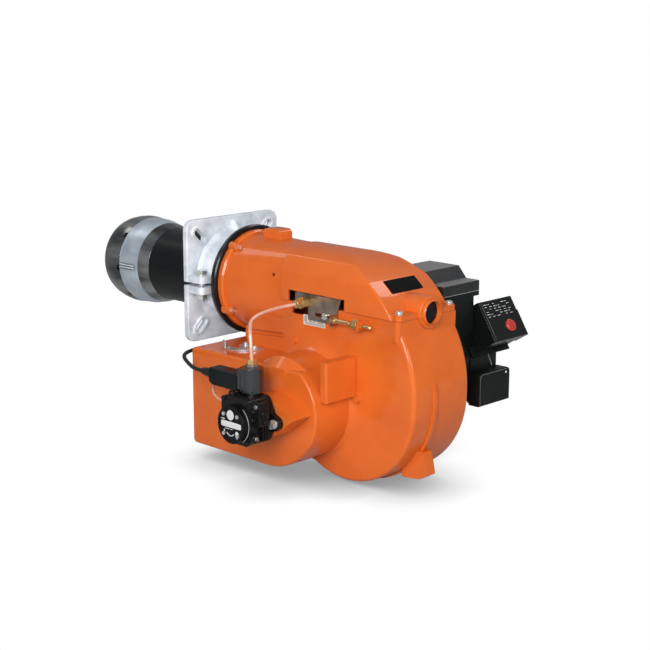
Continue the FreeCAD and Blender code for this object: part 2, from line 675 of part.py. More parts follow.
def slope_circle():
    """Radius and centre height of the cover's back, an arc level with the roof where it starts."""
    run = SLOPE_END_X - SLOPE_START
    top = COVER_TOP + SLOPE_LIFT
    drop = top - SLOPE_END_Z
    radius = (run ** 2 + drop ** 2) / (2 * drop)
    return radius, top - radius


def slope_cut(offset):
    """Everything above the rounded back of the cover, moved inwards by offset."""
    slope_r, centre_z = slope_circle()
    radius = slope_r - offset
    side = -COVER_HALF - 30
    arc_at = lambda turn: V(SLOPE_START + radius * math.sin(math.radians(turn)), side,
                            centre_z + radius * math.cos(math.radians(turn)))
    start = arc_at(0)
    end = arc_at(64)
    high = V(start.x, side, COVER_TOP + 50)
    far = V(end.x + 100, side, COVER_TOP + 50)
    low = V(end.x + 100, side, end.z)
    wire = Part.Wire([
        Part.Arc(start, arc_at(32), end).toShape(),
        Part.LineSegment(end, low).toShape(),
        Part.LineSegment(low, far).toShape(),
        Part.LineSegment(far, high).toShape(),
        Part.LineSegment(high, start).toShape(),
    ])
    return Part.Face(wire).extrude(V(0, -2 * side, 0))


def build_cover():
    length = CASE_REAR - CASE_FRONT
    shell = Part.Face(cover_section(0, CASE_FRONT)).extrude(V(length, 0, 0))
    creases = lambda e: straight_along(e, "x") and e.BoundBox.ZMin > 20
    shell = round_edges(shell, 9.0, creases)
    shell = shell.cut(slope_cut(0))
    wall_crease = lambda e: isinstance(e.Curve, Part.Circle) and e.BoundBox.YLength < 0.1 \
        and abs(e.Curve.Radius - slope_circle()[0]) < 0.1
    shell = round_edges(shell, 3.0, wall_crease)
    low = SEAM_Z + SEAM_GAP
    rim = rounded_block(CASE_REAR - 60, CASE_REAR, -CASE_HALF, CASE_HALF, low, COVER_FLANGE_TOP, "z", 4.0)
    bosses = [rod("z", COVER_SCREW_X, s * COVER_SCREW_Y, COVER_BOSS_R, low, COVER_FLANGE_TOP + 1.5)
              for s in (-1, 1)]
    hood = rod("x", 0, 0, HOOD_R, CASE_REAR - 67, CASE_REAR + 5)
    hood = hood.common(block(0, 600, -60, 60, low, 60))
    hood_edge = lambda e: isinstance(e.Curve, Part.Circle) and e.BoundBox.XMin > CASE_REAR + 4
    hood = round_edges(hood, 2.0, hood_edge)
    body = fuse([shell, rim, hood] + bosses)
    room = Part.Face(cover_section(COVER_WALL, CASE_FRONT + COVER_WALL))
    room = room.extrude(V(CASE_REAR - 5 - CASE_FRONT - 2 * COVER_WALL, 0, 0))
    room = room.cut(slope_cut(COVER_WALL))
    keep = rod("x", 0, 0, HOOD_R, CASE_REAR - 67, CASE_REAR + 5)
    room = room.cut(keep.common(block(CASE_REAR - 50, 600, -60, 60, -60, 60)))
    for s in (-1, 1):
        room = room.cut(rod("z", COVER_SCREW_X, s * COVER_SCREW_Y, COVER_BOSS_R, -60, 60))
    body = body.cut(room)
    body = body.cut(rod("x", 0, 0, NECK_END_TOP - 16, CASE_FRONT - 1, CASE_FRONT + COVER_WALL + 1))
    body = body.cut(block(WINDOW_FRONT, WINDOW_REAR, -COVER_HALF - 1, -COVER_HALF + 6, -30, WINDOW_TOP))
    body = body.cut(rod("x", 0, 0, PORT_OUTER + 0.1, PORT_START - 30, PORT_END))
    body = body.cut(fuse([rod("z", COVER_SCREW_X, s * COVER_SCREW_Y, 3.2, -60, 60) for s in (-1, 1)]))
    add("top_cover", max(body.Solids, key=lambda s: s.Volume))
    screws = []
    for s in (-1, 1):
        top = COVER_FLANGE_TOP + 1.5
        head = pan_head(COVER_SCREW_X, s * COVER_SCREW_Y, top, 6.2, 5.0)
        screws.append(fuse([head, rod("z", COVER_SCREW_X, s * COVER_SCREW_Y, 3.0, SEAM_Z + 0.3, top)]))
    port = revolve([(PORT_START, PORT_INNER), (PORT_START, PORT_OUTER), (PORT_END - 2, PORT_OUTER),
                    (PORT_END, PORT_OUTER - 1.2), (PORT_END, PORT_INNER)], "x", 0, 0)
    add("sight_port", port)
    add("sight_glass", rod("x", 0, 0, PORT_INNER, PORT_END - 12, PORT_END - 8))
    slope_r, centre_z = slope_circle()
    badge = pipe_ring("y", SLOPE_START, centre_z, slope_r + BADGE_THICK, slope_r, -BADGE_HALF, BADGE_HALF)
    window = rounded_block(-BADGE_TALL / 2, BADGE_TALL / 2, -BADGE_HALF, BADGE_HALF,
                           slope_r - 10, slope_r + 10, "z", 1.5)
    window.rotate(V(0, 0, 0), V(0, 1, 0), math.degrees(math.asin((BADGE_X - SLOPE_START) / slope_r)))
    window.translate(V(SLOPE_START, 0, centre_z))
    add("badge_plate", badge.common(window))
    return screws


# Fan, motor and shaft

def fan_blade():
    """One forward-curved blade: a thin arc between the eye and the rim of the fan."""
    steps = [(FAN_EYE, 0.0), ((FAN_EYE + FAN_R) / 2, 5.5), (FAN_R, 4.0)]
    outer = []
    inner = []
    for radius, degrees in steps:
        a = math.radians(degrees)
        b = math.radians(degrees) + BLADE_THICK / radius
        outer.append(V(radius * math.cos(a), 0, radius * math.sin(a)))
        inner.append(V(radius * math.cos(b), 0, radius * math.sin(b)))
    edges = [
        Part.Arc(outer[0], outer[1], outer[2]).toShape(),
        Part.LineSegment(outer[2], inner[2]).toShape(),
        Part.Arc(inner[2], inner[1], inner[0]).toShape(),
        Part.LineSegment(inner[0], outer[0]).toShape(),
    ]
    blade = Part.Face(Part.Wire(edges)).extrude(V(0, FAN_BACK - FAN_FRONT + 0.5, 0))
    blade.translate(V(AXIS_X, FAN_FRONT, AXIS_Z))
    return blade


def build_fan():
    blade = fan_blade()
    parts = []
    for k in range(BLADES):
        copy = blade.copy()
        copy.rotate(V(AXIS_X, 0, AXIS_Z), V(0, 1, 0), 360.0 * k / BLADES)
        parts.append(copy)
    front_ring = pipe_ring("y", AXIS_X, AXIS_Z, FAN_R + 0.8, FAN_EYE + 8, FAN_FRONT - 1.0, FAN_FRONT + 1.0)
    disc = revolve([(FAN_BACK, FAN_R + 0.8), (FAN_BACK + 1.5, FAN_R + 0.8), (FAN_BACK + 1.5, 34),
                    (FAN_BACK - 10.5, 24), (FAN_BACK - 10.5, 10), (FAN_BACK - 12, 10), (FAN_BACK - 12, 25),
                    (FAN_BACK, 35)], "y", AXIS_X, AXIS_Z)
    hub = rod("y", AXIS_X, AXIS_Z, 15.0, FAN_BACK - 20, FAN_BACK + 10)
    hub = hub.cut(rod("y", AXIS_X, AXIS_Z, SHAFT_R, FAN_BACK - 30, FAN_BACK + 20))
    disc = disc.cut(rod("y", AXIS_X, AXIS_Z, 15.0, FAN_BACK - 30, FAN_BACK + 20))
    wheel = fuse(parts + [front_ring, disc, hub])
    add("fan_wheel", max(wheel.Solids, key=lambda s: s.Volume))
    seat = -CASE_HALF - INLET_SEAT
    inlet = revolve([(seat, EYE_R + 6), (seat, EYE_R + 10), (seat - 1.2, EYE_R + 10), (seat - 1.2, EYE_R + 4),
                     (-CASE_HALF + 3, EYE_R), (FAN_FRONT - 3, EYE_R - 3), (FAN_FRONT - 3, EYE_R - 1.5),
                     (-CASE_HALF + 4, EYE_R + 2)], "y", AXIS_X, AXIS_Z)
    add("fan_inlet_ring", inlet)


def build_motor():
    x = AXIS_X
    z = AXIS_Z
    plate = rod("y", x, z, MOTOR_PLATE_R, MOTOR_START, MOTOR_START + MOTOR_PLATE_THICK)
    pilot = rod("y", x, z, FAN_R + 4.7, MOTOR_START - 5, MOTOR_START + 1)
    seat_r = 16.0
    nose = rod("y", x, z, seat_r + 6, MOTOR_START - 1, MOTOR_START + 20)
    shield = fuse([plate, pilot, nose])
    shield = shield.cut(rod("y", x, z, seat_r, MOTOR_START + 4, MOTOR_START + 30))
    shield = shield.cut(rod("y", x, z, SHAFT_R + 0.8, MOTOR_START - 10, MOTOR_START + 30))
    shell_start = MOTOR_START + MOTOR_PLATE_THICK
    shell_end = MOTOR_END - 34
    shell = pipe_ring("y", x, z, MOTOR_R, MOTOR_R - MOTOR_WALL, shell_start, shell_end)
    fins = []
    for k in range(28):
        fin = block(x - 1, x + 1, shell_start + 6, shell_end - 8, z + MOTOR_R - 1, z + MOTOR_R + 5)
        fin.rotate(V(x, 0, z), V(0, 1, 0), 360.0 * k / 28)
        fins.append(fin)
    add("motor_casing", fuse([shell] + fins))
    bore = ROTOR_R + AIR_GAP
    stator_start = shell_start + 30
    stator_end = shell_end - 30
    stator = pipe_ring("y", x, z, MOTOR_R - MOTOR_WALL - 0.05, bore, stator_start, stator_end)
    windings = [pipe_ring("y", x, z, MOTOR_R - 14, bore + 3, stator_start - 16, stator_start),
                pipe_ring("y", x, z, MOTOR_R - 14, bore + 3, stator_end, stator_end + 16)]
    add("motor_stator", fuse([stator] + windings))
    add("motor_rotor", pipe_ring("y", x, z, ROTOR_R, SHAFT_R, stator_start, stator_end))
    back = fuse([rod("y", x, z, MOTOR_R, shell_end, shell_end + 6), rod("y", x, z, seat_r + 6, shell_end - 14,
                                                                    shell_end + 6)])
    back = back.cut(rod("y", x, z, seat_r, shell_end - 20, shell_end + 2))
    back = back.cut(rod("y", x, z, SHAFT_R + 0.8, shell_end - 20, shell_end + 10))
    add("motor_shields", Part.makeCompound([shield, back]))
    bearings = [pipe_ring("y", x, z, seat_r - 0.02, SHAFT_R + 0.02, MOTOR_START + 4.3, MOTOR_START + 14),
                pipe_ring("y", x, z, seat_r - 0.02, SHAFT_R + 0.02, shell_end - 9, shell_end + 1.7)]
    add("motor_bearings", Part.makeCompound(bearings))
    add("motor_shaft", rod("y", x, z, SHAFT_R, FAN_BACK - 24, MOTOR_END - 8))
    cooling = [pipe_ring("y", x, z, 12, SHAFT_R, shell_end + 10, shell_end + 22)]
    for k in range(9):
        vane = block(x - 1, x + 1, shell_end + 10, shell_end + 22, z + 10, z + 44)
        vane.rotate(V(x, 0, z), V(0, 1, 0), 40.0 * k)
        cooling.append(vane)
    cooling.append(pipe_ring("y", x, z, 46, 11, shell_end + 9, shell_end + 10.5))
    add("motor_cooling_fan", fuse(cooling))
    cowl = rod("y", x, z, MOTOR_R + 1.5, shell_end - 6, MOTOR_END)
    cowl = round_edges(cowl, 6.0, lambda e: e.BoundBox.YMin > MOTOR_END - 0.1)
    cowl = cowl.cut(rod("y", x, z, MOTOR_R + 0.1, shell_end - 7, shell_end + 6))
    cowl = cowl.cut(rod("y", x, z, MOTOR_R - 2, shell_end + 5, MOTOR_END - 1.8))
    for radius in (14.0, 24.0, 34.0, 44.0):
        ring = pipe_ring("y", x, z, radius + 3.2, radius, MOTOR_END - 3, MOTOR_END + 1)
        for turn in (45, 135):
            spoke = block(x - 80, x + 80, MOTOR_END - 4, MOTOR_END + 2, z - 2.5, z + 2.5)
            spoke.rotate(V(x, 0, z), V(0, 1, 0), turn)
            ring = ring.cut(spoke)
        cowl = cowl.cut(ring)
    add("motor_fan_cowl", cowl)
    capacitor_x = x - 30
    capacitor_z = z + MOTOR_R + 24
    strap_low = z + MOTOR_R - 2
    can = rod("y", capacitor_x, capacitor_z, 17.0, shell_start + 10, shell_start + 82)
    can = round_edges(can, 3.0, lambda e: e.BoundBox.YLength < 0.1)
    strap = pipe_ring("y", capacitor_x, capacitor_z, 18.6, 17.0, shell_start + 40, shell_start + 52)
    stand = block(capacitor_x - 6, capacitor_x + 6, shell_start + 40, shell_start + 52, strap_low - 12,
                  capacitor_z - 17.5)
    stand = stand.cut(rod("y", x, z, MOTOR_R + 5.1, shell_start, shell_end))
    add("motor_capacitor", Part.makeCompound([can, fuse([strap, stand])]))


# Air intake: damper, jack and grille

def build_damper():
    x = DAMPER_X
    y = DAMPER_Y
    low = BOX_LOW + WALL
    high = BOX_TOP - WALL
    shaft = rod("z", x, y, DAMPER_SHAFT, low + 0.5, BOX_TOP + 8)
    leaf = block(x - 1, x + 1, y - DAMPER_HALF, y + DAMPER_HALF, low + 8, JACK_Z - 14)
    leaf = round_edges(leaf, 8.0, lambda e: straight_along(e, "x"))
    spine = rod("z", x, y, 6.0, low + 12, high - 8)
    arm = block(x - 4, x - 1, y - JACK_ARM - 5, y, JACK_Z - 5, JACK_Z + 5)
    add("damper_flap", fuse([shaft, leaf, spine, arm]))
    plate_z = BOX_TOP + SEAM_GAP
    plate_top = plate_z + 2
    strip = pipe_ring("z", x, y, SECTOR_R, SECTOR_R - 16, plate_z, plate_top)
    strip = strip.common(prism([(x, y), (x + 70, y + 6), (x + 70, y - 70), (x - 43, y - 70)], "xy",
                               plate_z - 1, plate_top + 1))
    slot = pipe_ring("z", x, y, SECTOR_SLOT_R + 2.9, SECTOR_SLOT_R - 2.9, plate_z - 1, plate_top + 1)
    slot = slot.common(prism([(x, y), (x + 70, y - 2.4), (x + 70, y - 70), (x - 28.3, y - 70)], "xy",
                             plate_z - 1, plate_top + 1))
    arm = block(x, x + SECTOR_R - 13, y - 5, y + 5, plate_z, plate_top)
    arm.rotate(V(x, y, 0), V(0, 0, 1), -60)
    tab = block(x + SECTOR_R - 2, x + SECTOR_R, y - 5, y + 5, plate_z, plate_top + 12)
    tab.rotate(V(x, y, 0), V(0, 0, 1), -113)
    sector = fuse([strip.cut(slot), rod("z", x, y, 12.0, plate_z, plate_top), arm, tab])
    sector = sector.cut(rod("z", x, y, DAMPER_SHAFT + 0.05, plate_z - 1, plate_top + 1))
    add("damper_sector", sector)
    screw_turn = math.radians(-14)
    screw_x = x + SECTOR_SLOT_R * math.cos(screw_turn)
    screw_y = y + SECTOR_SLOT_R * math.sin(screw_turn)
    screw = pan_head(screw_x, screw_y, plate_z + 3.5, 5.0, 3.6)
    washer = rod("z", screw_x, screw_y, 6.5, plate_z + 2.3, plate_z + 3.5)
    sector_screw = fuse([screw, washer, rod("z", screw_x, screw_y, 2.5, BOX_TOP, plate_z + 4)])
    jack_y = y - JACK_ARM
    jack_end = x - 4 - 0.5
    body_end = jack_end - 6
    body = fuse([rod("x", jack_y, JACK_Z, 11.0, BOX_FRONT_X + 12, body_end),
                 rod("x", jack_y, JACK_Z, 6.0, body_end, body_end + 5),
                 block(BOX_FRONT_X + 16, BOX_FRONT_X + 34, jack_y - 9, jack_y + 9, JACK_Z + 6,
                       BOX_TOP - WALL)])
    body = body.cut(rod("x", jack_y, JACK_Z, 7.0, BOX_FRONT_X + 14, body_end - 4))
    body = body.cut(rod("x", jack_y, JACK_Z, 3.05, BOX_FRONT_X + 14, body_end + 6))
    add("jack_body", body)
    piston = fuse([rod("x", jack_y, JACK_Z, 6.95, BOX_FRONT_X + 15, BOX_FRONT_X + 19),
                   rod("x", jack_y, JACK_Z, 3.0, BOX_FRONT_X + 17, jack_end)])
    add("jack_piston", piston)
    bars = []
    grille_x = BOX_FRONT_X + 0.3
    y0 = BOX_Y + WALL
    y1 = BOX_INNER_Y - WALL
    z0 = BOX_LOW + WALL
    z1 = BOX_TOP - WALL
    frame = block(grille_x, grille_x + 3, y0, y1, z0, z1)
    frame = frame.cut(block(grille_x - 1, grille_x + 4, y0 + 5, y1 - 5, z0 + 5, z1 - 5))
    bars.append(frame)
    count = 10
    for k in range(1, count):
        z = z0 + (z1 - z0) * k / count
        bars.append(block(grille_x + 0.5, grille_x + 2.5, y0 + 4, y1 - 4, z - 1, z + 1))
    middle = (y0 + y1) / 2
    bars.append(block(grille_x + 0.5, grille_x + 2.5, middle - 2, middle + 2, z0 + 4, z1 - 4))
    add("intake_grille", fuse(bars))
    return sector_screw


# Fuel pump, solenoid and pipes

def build_pump():
    x = AXIS_X
    z = AXIS_Z
    seat = BOSS_Y - 0.05
    centre_z = z - PUMP_DROP
    body_front = PUMP_FACE + PUMP_COVER_THICK
    half = PUMP_HALF
    core = rounded_block(x - half, x + half, body_front, seat - 6, centre_z - half, z + half + 6, "y", 12.0)
    collar = rod("y", x, centre_z, PUMP_COVER_R + 1, body_front, body_front + 16)
    shelf = rounded_block(x - half + 2, x + half + 10, body_front + 10, seat - 22, z - 6, z + half + 2,
                          "y", 5.0)
    fins = []
    for k in range(3):
        fin_y = body_front + 22 + 5 * k
        fins.append(block(x + half - 2, x + half + 6, fin_y, fin_y + 2.5, centre_z - 26, z + 20))
    lug_x = 41.0
    tip_r = 11.0
    flange = fuse([rod("y", x, z, 36.0, seat - 9, seat),
                   rod("y", x + lug_x, z - 6, tip_r, seat - 9, seat),
                   rod("y", x - lug_x, z + 6, tip_r, seat - 9, seat),
                   prism([(x, z - 30), (x + lug_x + 4, z - 16.5), (x + lug_x + 2, z + 5), (x, z + 30),
                          (x - lug_x - 4, z + 16.5), (x - lug_x - 2, z - 5)], "xz", seat - 9, seat)])
    hub = rod("y", x, z, PUMP_HUB_R, seat - 1, BOX_Y + WALL)
    body = fuse([core, collar, shelf, flange, hub] + fins)
    gear_room = rod("y", x, z, 11.3, seat - 30, seat - 16)
    shaft_bore = rod("y", x, z, 4.05, body_front + 6, BOX_Y + 20)
    plunger_bore = rod("z", x, COIL_Y, PLUNGER_R + 0.06, z + 14, z + half + 10)
    for cutter in (gear_room, shaft_bore, plunger_bore):
        body = body.cut(cutter)
    for s in (-1, 1):
        body = body.cut(rod("y", x + s * lug_x, z - s * 6, 4.3, seat - 20, seat + 1))
    add("pump_body", max(body.Solids, key=lambda q: q.Volume))
    cover = rod("y", x, centre_z, PUMP_COVER_R, PUMP_FACE, body_front)
    cover = round_edges(cover, 1.5, lambda e: e.BoundBox.YMax < PUMP_FACE + 0.1)
    cover = cover.cut(rod("y", x, centre_z, PUMP_COVER_R - 5, PUMP_FACE - 1, PUMP_FACE + 1.2))
    add("pump_cover", cover)
    screws = []
    for k in range(4):
        angle = math.radians(45 + 90 * k)
        sx = x + (PUMP_COVER_R - 8.5) * math.cos(angle)
        sz = centre_z + (PUMP_COVER_R - 8.5) * math.sin(angle)
        screws.append(rod("y", sx, sz, 3.2, PUMP_FACE - 1.2, PUMP_FACE + 1.2))
    bolts = []
    for s in (-1, 1):
        bx = x + s * lug_x
        bz = z - s * 6
        bolts.append(fuse([hexagon("y", bx, bz, 13.0, seat - 17.5, seat - 11.5),
                           rod("y", bx, bz, 7.8, seat - 11.5, seat - 9),
                           rod("y", bx, bz, 4.0, seat - 12, seat)]))
    add("pump_screws", Part.makeCompound(screws + bolts))
    gear_y0 = seat - 29.6
    gear_y1 = seat - 16.4
    pinion = fuse([rod("y", x, z, 8.0, gear_y0, gear_y1), rod("y", x, z, 4.0, seat - 38, BOX_Y + 26)])
    for k in range(9):
        tooth = block(x - 1.3, x + 1.3, gear_y0, gear_y1, z + 7.5, z + 10.8)
        tooth.rotate(V(x, 0, z), V(0, 1, 0), 40.0 * k)
        pinion = pinion.fuse(tooth)
    add("pump_shaft", pinion.removeSplitter())
    couple = rod("y", x, z, 13.0, BOX_Y + 14, BOX_Y + 34)
    link = rod("y", x, z, 7.0, BOX_Y + 30, FAN_BACK - 25)
    cup = rod("y", x, z, 13.0, FAN_BACK - 40, FAN_BACK - 21)
    coupling = fuse([couple, link, cup]).cut(rod("y", x, z, 4.0, BOX_Y, BOX_Y + 26))
    coupling = coupling.cut(rod("y", x, z, SHAFT_R, FAN_BACK - 24, FAN_BACK))
    add("pump_coupling", coupling)


def build_solenoid():
    x = AXIS_X
    y = COIL_Y
    base = AXIS_Z + PUMP_HALF + 6
    stem = fuse([rod("z", x, y, 11.0, base, COIL_LOW - 0.3), rod("z", x, y, STEM_R, base, COIL_TOP + 5)])
    stem = stem.cut(rod("z", x, y, PLUNGER_R + 0.06, base - 1, COIL_TOP - 6))
    plunger = rod("z", x, y, PLUNGER_R, base - 16, COIL_TOP - 14)
    add("solenoid_plunger", plunger)
    coil = pipe_ring("z", x, y, COIL_R, STEM_R + 0.1, COIL_LOW, COIL_TOP)
    side = block(x - COIL_R - 3, x - 6, y - 13, y + 13, COIL_LOW + 2, COIL_TOP - 3)
    side = side.cut(rod("z", x, y, STEM_R + 0.1, COIL_LOW - 1, COIL_TOP + 1))
    add("solenoid_coil", fuse([coil, side]))
    nut = hexagon("z", x, y, 17.0, COIL_TOP, COIL_TOP + 5).cut(rod("z", x, y, STEM_R, COIL_LOW, COIL_TOP + 9))
    add("solenoid_stem", Part.makeCompound([stem, nut]))
    plug_x1 = x - COIL_R - 3.2
    plug_x0 = x - 88.0
    plug = rounded_block(plug_x0, plug_x1, y - 14, y + 14, COIL_LOW - 2.7, COIL_LOW + 26, "x", 4.0)
    wedge = prism([(plug_x0 - 1, COIL_LOW - 4), (plug_x0 + 12, COIL_LOW - 4), (plug_x0 - 1, COIL_LOW + 4)],
                  "xz", y - 20, y + 20)
    add("solenoid_plug", plug.cut(wedge))
    gland_z = COIL_LOW + 12.5
    gland = revolve([(plug_x0, 0), (plug_x0, 9.5), (plug_x0 - 9, 9.5), (plug_x0 - 12, 7.5),
                     (plug_x0 - 22, 6.8), (plug_x0 - 30, 5.6), (plug_x0 - 30, 0)], "x", y, gland_z)
    return gland, (plug_x0 - 30, y, gland_z)


def build_pipes(plug_gland, cable_start):
    x = AXIS_X
    top = COIL_TOP + 5
    pipe = [(x, COIL_Y, top + 0.5), (x - 1, COIL_Y, top + 24), (x - 8, COIL_Y + 4, top + 50),
            (x - 22, COIL_Y + 18, top + 65), (x - 30, COIL_Y + 46, top + 70),
            (x - 30, COIL_Y + 84, top + 74), (UNION_X, PLATE_Y - 23.4, UNION_Z)]
    tube, radii, ratio, length = routed_tube(pipe, PIPE_R)
    print("nozzle pipe radii", radii, "volume ratio", round(ratio, 4), "length", round(length, 1))
    near_half = block(0, 500, -400, PIPE_CUT_Y - SEAM_GAP / 2, -300, 100)
    far_half = block(0, 500, PIPE_CUT_Y + SEAM_GAP / 2, 0, -300, 100)
    add("nozzle_pipe_lower", tube.common(near_half))
    add("nozzle_pipe_upper", tube.common(far_half))
    top_nut = hexagon("z", x, COIL_Y, 14.0, top, top + 9).cut(tube)
    left = x - PUMP_HALF
    low = AXIS_Z + 20
    route = [(left - 10, -226.0, low), (left - 25, -226.0, low + 1), (left - 41, -224.0, low + 6),
             (left - 55, -214.0, low + 13), (left - 66, -196.0, low + 17),
             (left - 71, -176.0, low + 18), (left - 72, BOX_Y - 5, low + 18)]
    tube, radii, ratio, length = routed_tube(route, 2.0)
    print("jack pipe radii", radii, "volume ratio", round(ratio, 4), "length", round(length, 1))
    add("jack_pipe", tube)
    near = hexagon("x", -226.0, low, 11.0, left - 12, left).cut(tube)
    far = hexagon("y", left - 72, low + 18, 11.0, BOX_Y - 8, BOX_Y).cut(tube)
    add("pipe_nuts", Part.makeCompound([top_nut, near, far]))
    edge = BOX_FRONT_X - CABLE_R - 3
    sx, sy, sz = cable_start
    far_y = BOX_INNER_Y
    cable = [(sx + 3, sy, sz), (sx - 24, sy + 3, sz - 2), (sx - 54, sy + 15, sz - 1),
             (edge + 6, BOX_Y - 20, sz + 3), (edge - 8, BOX_Y + 10, sz + 5),
             (edge - 4, BOX_Y + 56, sz + 6), (edge - 1, BOX_Y + 100, sz + 7),
             (edge + 2, far_y + 4, sz + 8), (edge + 22, far_y + 46, sz + 10),
             (edge + 60, far_y + 78, sz + 14), (edge + 106, far_y + 98, sz + 26),
             (edge + 156, far_y + 105, sz + 50), (edge + 206, far_y + 110, sz + 66),
             (PANEL_FRONT - 4, far_y + 112, sz + 70)]
    tube, radii, ratio, length = routed_tube(cable, CABLE_R)
    print("solenoid cable radii", radii, "volume ratio", round(ratio, 4), "length", round(length, 1))
    add("solenoid_cable", tube)
    end = cable[-1]
    gland = revolve([(PANEL_FRONT - 16, 0), (PANEL_FRONT - 16, 6.0), (PANEL_FRONT - 8, 8.5),
                     (PANEL_FRONT, 8.5), (PANEL_FRONT, 0)], "x", end[1], end[2])
    add("cable_glands", Part.makeCompound([plug_gland.cut(tube), gland.cut(tube)]))


# Nozzle line, flame disc, side plate and head adjuster

def build_nozzle_line():
    start = DISC_X + 36
    end = UNION_X + 12
    line = rod("x", 0, 0, LINE_R, start, end)
    cross = rod("y", UNION_X, UNION_Z, LINE_R - 1, PLATE_Y - 0.9, 4)
    core = rounded_block(UNION_X - 14, end, -12, 12, -15, 12, "y", 3.0)
    holder = rounded_block(start - 6, start + 14, -HOLDER_HALF, HOLDER_HALF, -20, 20, "x", 5.0)
    add("nozzle_line", fuse([line, cross, core, holder]))
    nozzles = []
    tip_x = start - 28.6
    for s in (-1, 1):
        z = 10.5 * s
        nozzles.append(fuse([hexagon("x", 0, z, 16.0, start - 20, start - 6.2),
                             revolve([(start - 20, 0), (start - 20, 7), (start - 27, 4.5), (start - 27, 0)],
                                     "x", 0, z)]))
    add("nozzles", Part.makeCompound(nozzles))
    disc = revolve([(DISC_X, 17), (DISC_X + 5, DISC_R - 6), (DISC_X, DISC_R), (DISC_X + 2, DISC_R),
                    (DISC_X + 7, DISC_R - 7), (DISC_X + 2, 17)], "x", 0, 0)
    for k in range(8):
        slit = block(DISC_X - 2, DISC_X + 9, -1.2, 1.2, 23, DISC_R - 9)
        slit.rotate(V(0, 0, 0), V(1, 0, 0), 45.0 * k)
        disc = disc.cut(slit)
    stay_start = start + 2
    ring = pipe_ring("x", 0, 0, 27.0, 25.0, stay_start, stay_start + 10)
    arms = []
    inner = TUBE_OD / 2 - TUBE_WALL - HEAD_WALL
    for k in range(3):
        arm = block(stay_start + 1, stay_start + 9, -1.5, 1.5, 26, inner - 1.2)
        arm.rotate(V(0, 0, 0), V(1, 0, 0), 120.0 * k)
        arms.append(arm)
        strut = block(DISC_X + 1.0, stay_start + 5, -2.5, 2.5, 25.0, 27.0)
        strut.rotate(V(0, 0, 0), V(1, 0, 0), 120.0 * k)
        arms.append(strut)
    grip = block(stay_start, stay_start + 10, -26, 26, -4, 4)
    grip = grip.cut(holder)
    add("flame_disc", fuse([disc, ring, grip] + arms))
    rods = []
    insulators = []
    for s in (-1, 1):
        y = 14.0 * s
        insulators.append(rod("x", y, 14.0, 5.0, start - 6, start + 52))
        rods.append(fuse([rod("x", y, 14.0, 1.2, tip_x, start + 60),
                          rod("y", tip_x, 14.0, 1.2, min(y, y - 11.5 * s), max(y, y - 11.5 * s))]))
    porcelain = [i.cut(Part.makeCompound(rods)) for i in insulators]
    add("electrodes", Part.makeCompound(porcelain + rods))
    plate_back = PLATE_Y + 0.6
    plate_rear = WINDOW_REAR - HEAD_TRAVEL - 1.5
    plate = prism([(240, WINDOW_TOP - 1), (plate_rear, WINDOW_TOP - 1), (ADJUST_TAB_X, SEAM_Z - 3),
                   (ADJUST_TAB_X, SEAM_Z - 25), (270, SEAM_Z - 25), (270, SEAM_Z - 3), (240, SEAM_Z - 3)],
                  "xz", PLATE_Y - PLATE_THICK + 0.6, plate_back)
    slot = fuse([rod("y", 289, LOCK_Z, 2.8, -80, -60), rod("y", 319, LOCK_Z, 2.8, -80, -60),
                 block(289, 319, -80, -60, LOCK_Z - 2.8, LOCK_Z + 2.8)])
    tab_x = ADJUST_TAB_X
    tab = block(tab_x - PLATE_THICK, tab_x, ADJUST_Y - 8, plate_back, ADJUST_Z - 9, ADJUST_Z + 9)
    tab = tab.cut(rod("x", ADJUST_Y, ADJUST_Z, 4.0, tab_x - 5, tab_x + 5))
    plate = plate.cut(slot).cut(rod("y", UNION_X, UNION_Z, LINE_R - 0.9, -80, -60))
    add("side_plate", fuse([plate, tab]))
    screw = fuse([rod("y", LOCK_X, LOCK_Z, 5.6, PLATE_Y - 4.4, PLATE_Y - 1.3),
                  rod("y", LOCK_X, LOCK_Z, 2.4, PLATE_Y - 4, -CASE_HALF)])
    screw = screw.cut(block(LOCK_X - 7, LOCK_X + 7, PLATE_Y - 5, PLATE_Y - 3.2, LOCK_Z - 0.6, LOCK_Z + 0.6))
    scale = block(UNION_X - 6, UNION_X + 44, -CASE_HALF - 0.8, -CASE_HALF, LOCK_Z - 21, LOCK_Z - 4)
    add("head_scale", scale)
    front = PLATE_Y - PLATE_THICK + 0.6
    union = fuse([hexagon("y", UNION_X, UNION_Z, 17.0, front - 12, front - 0.05),
                  rod("y", UNION_X, UNION_Z, 6.0, front - 22.5, front - 11),
                  hexagon("y", UNION_X, UNION_Z, 13.0, front - 22, front - 13)])
    add("line_union", union.cut(NODES["nozzle_pipe_upper"]))
    tail = tab_x + 80
    point = revolve([(tail, 0), (tail, SPINDLE_R), (tail + 3, 1.0), (tail + 3, 0)], "x", ADJUST_Y, ADJUST_Z)
    spindle = fuse([rod("x", ADJUST_Y, ADJUST_Z, 3.9, tab_x - 6, tab_x + 36), point,
                    rod("x", ADJUST_Y, ADJUST_Z, SPINDLE_R, tab_x + 36, tail),
                    hexagon("x", ADJUST_Y, ADJUST_Z, 10.0, tab_x + 0.1, tab_x + 5)])
    add("adjuster_spindle", spindle)
    knob = rod("x", ADJUST_Y, ADJUST_Z, 8.6, tab_x + 44, tab_x + 56)
    knob = round_edges(knob, 1.2, lambda e: e.BoundBox.XLength < 0.1)
    grooves = []
    for k in range(16):
        groove = rod("x", ADJUST_Y, ADJUST_Z + 8.9, 0.9, tab_x + 43, tab_x + 57)
        groove.rotate(V(0, ADJUST_Y, ADJUST_Z), V(1, 0, 0), 22.5 * k)
        grooves.append(groove)
    knob = knob.cut(fuse(grooves)).cut(rod("x", ADJUST_Y, ADJUST_Z, SPINDLE_R + 0.05, tab_x + 40, tab_x + 60))
    add("adjuster_knob", knob)
    return screw


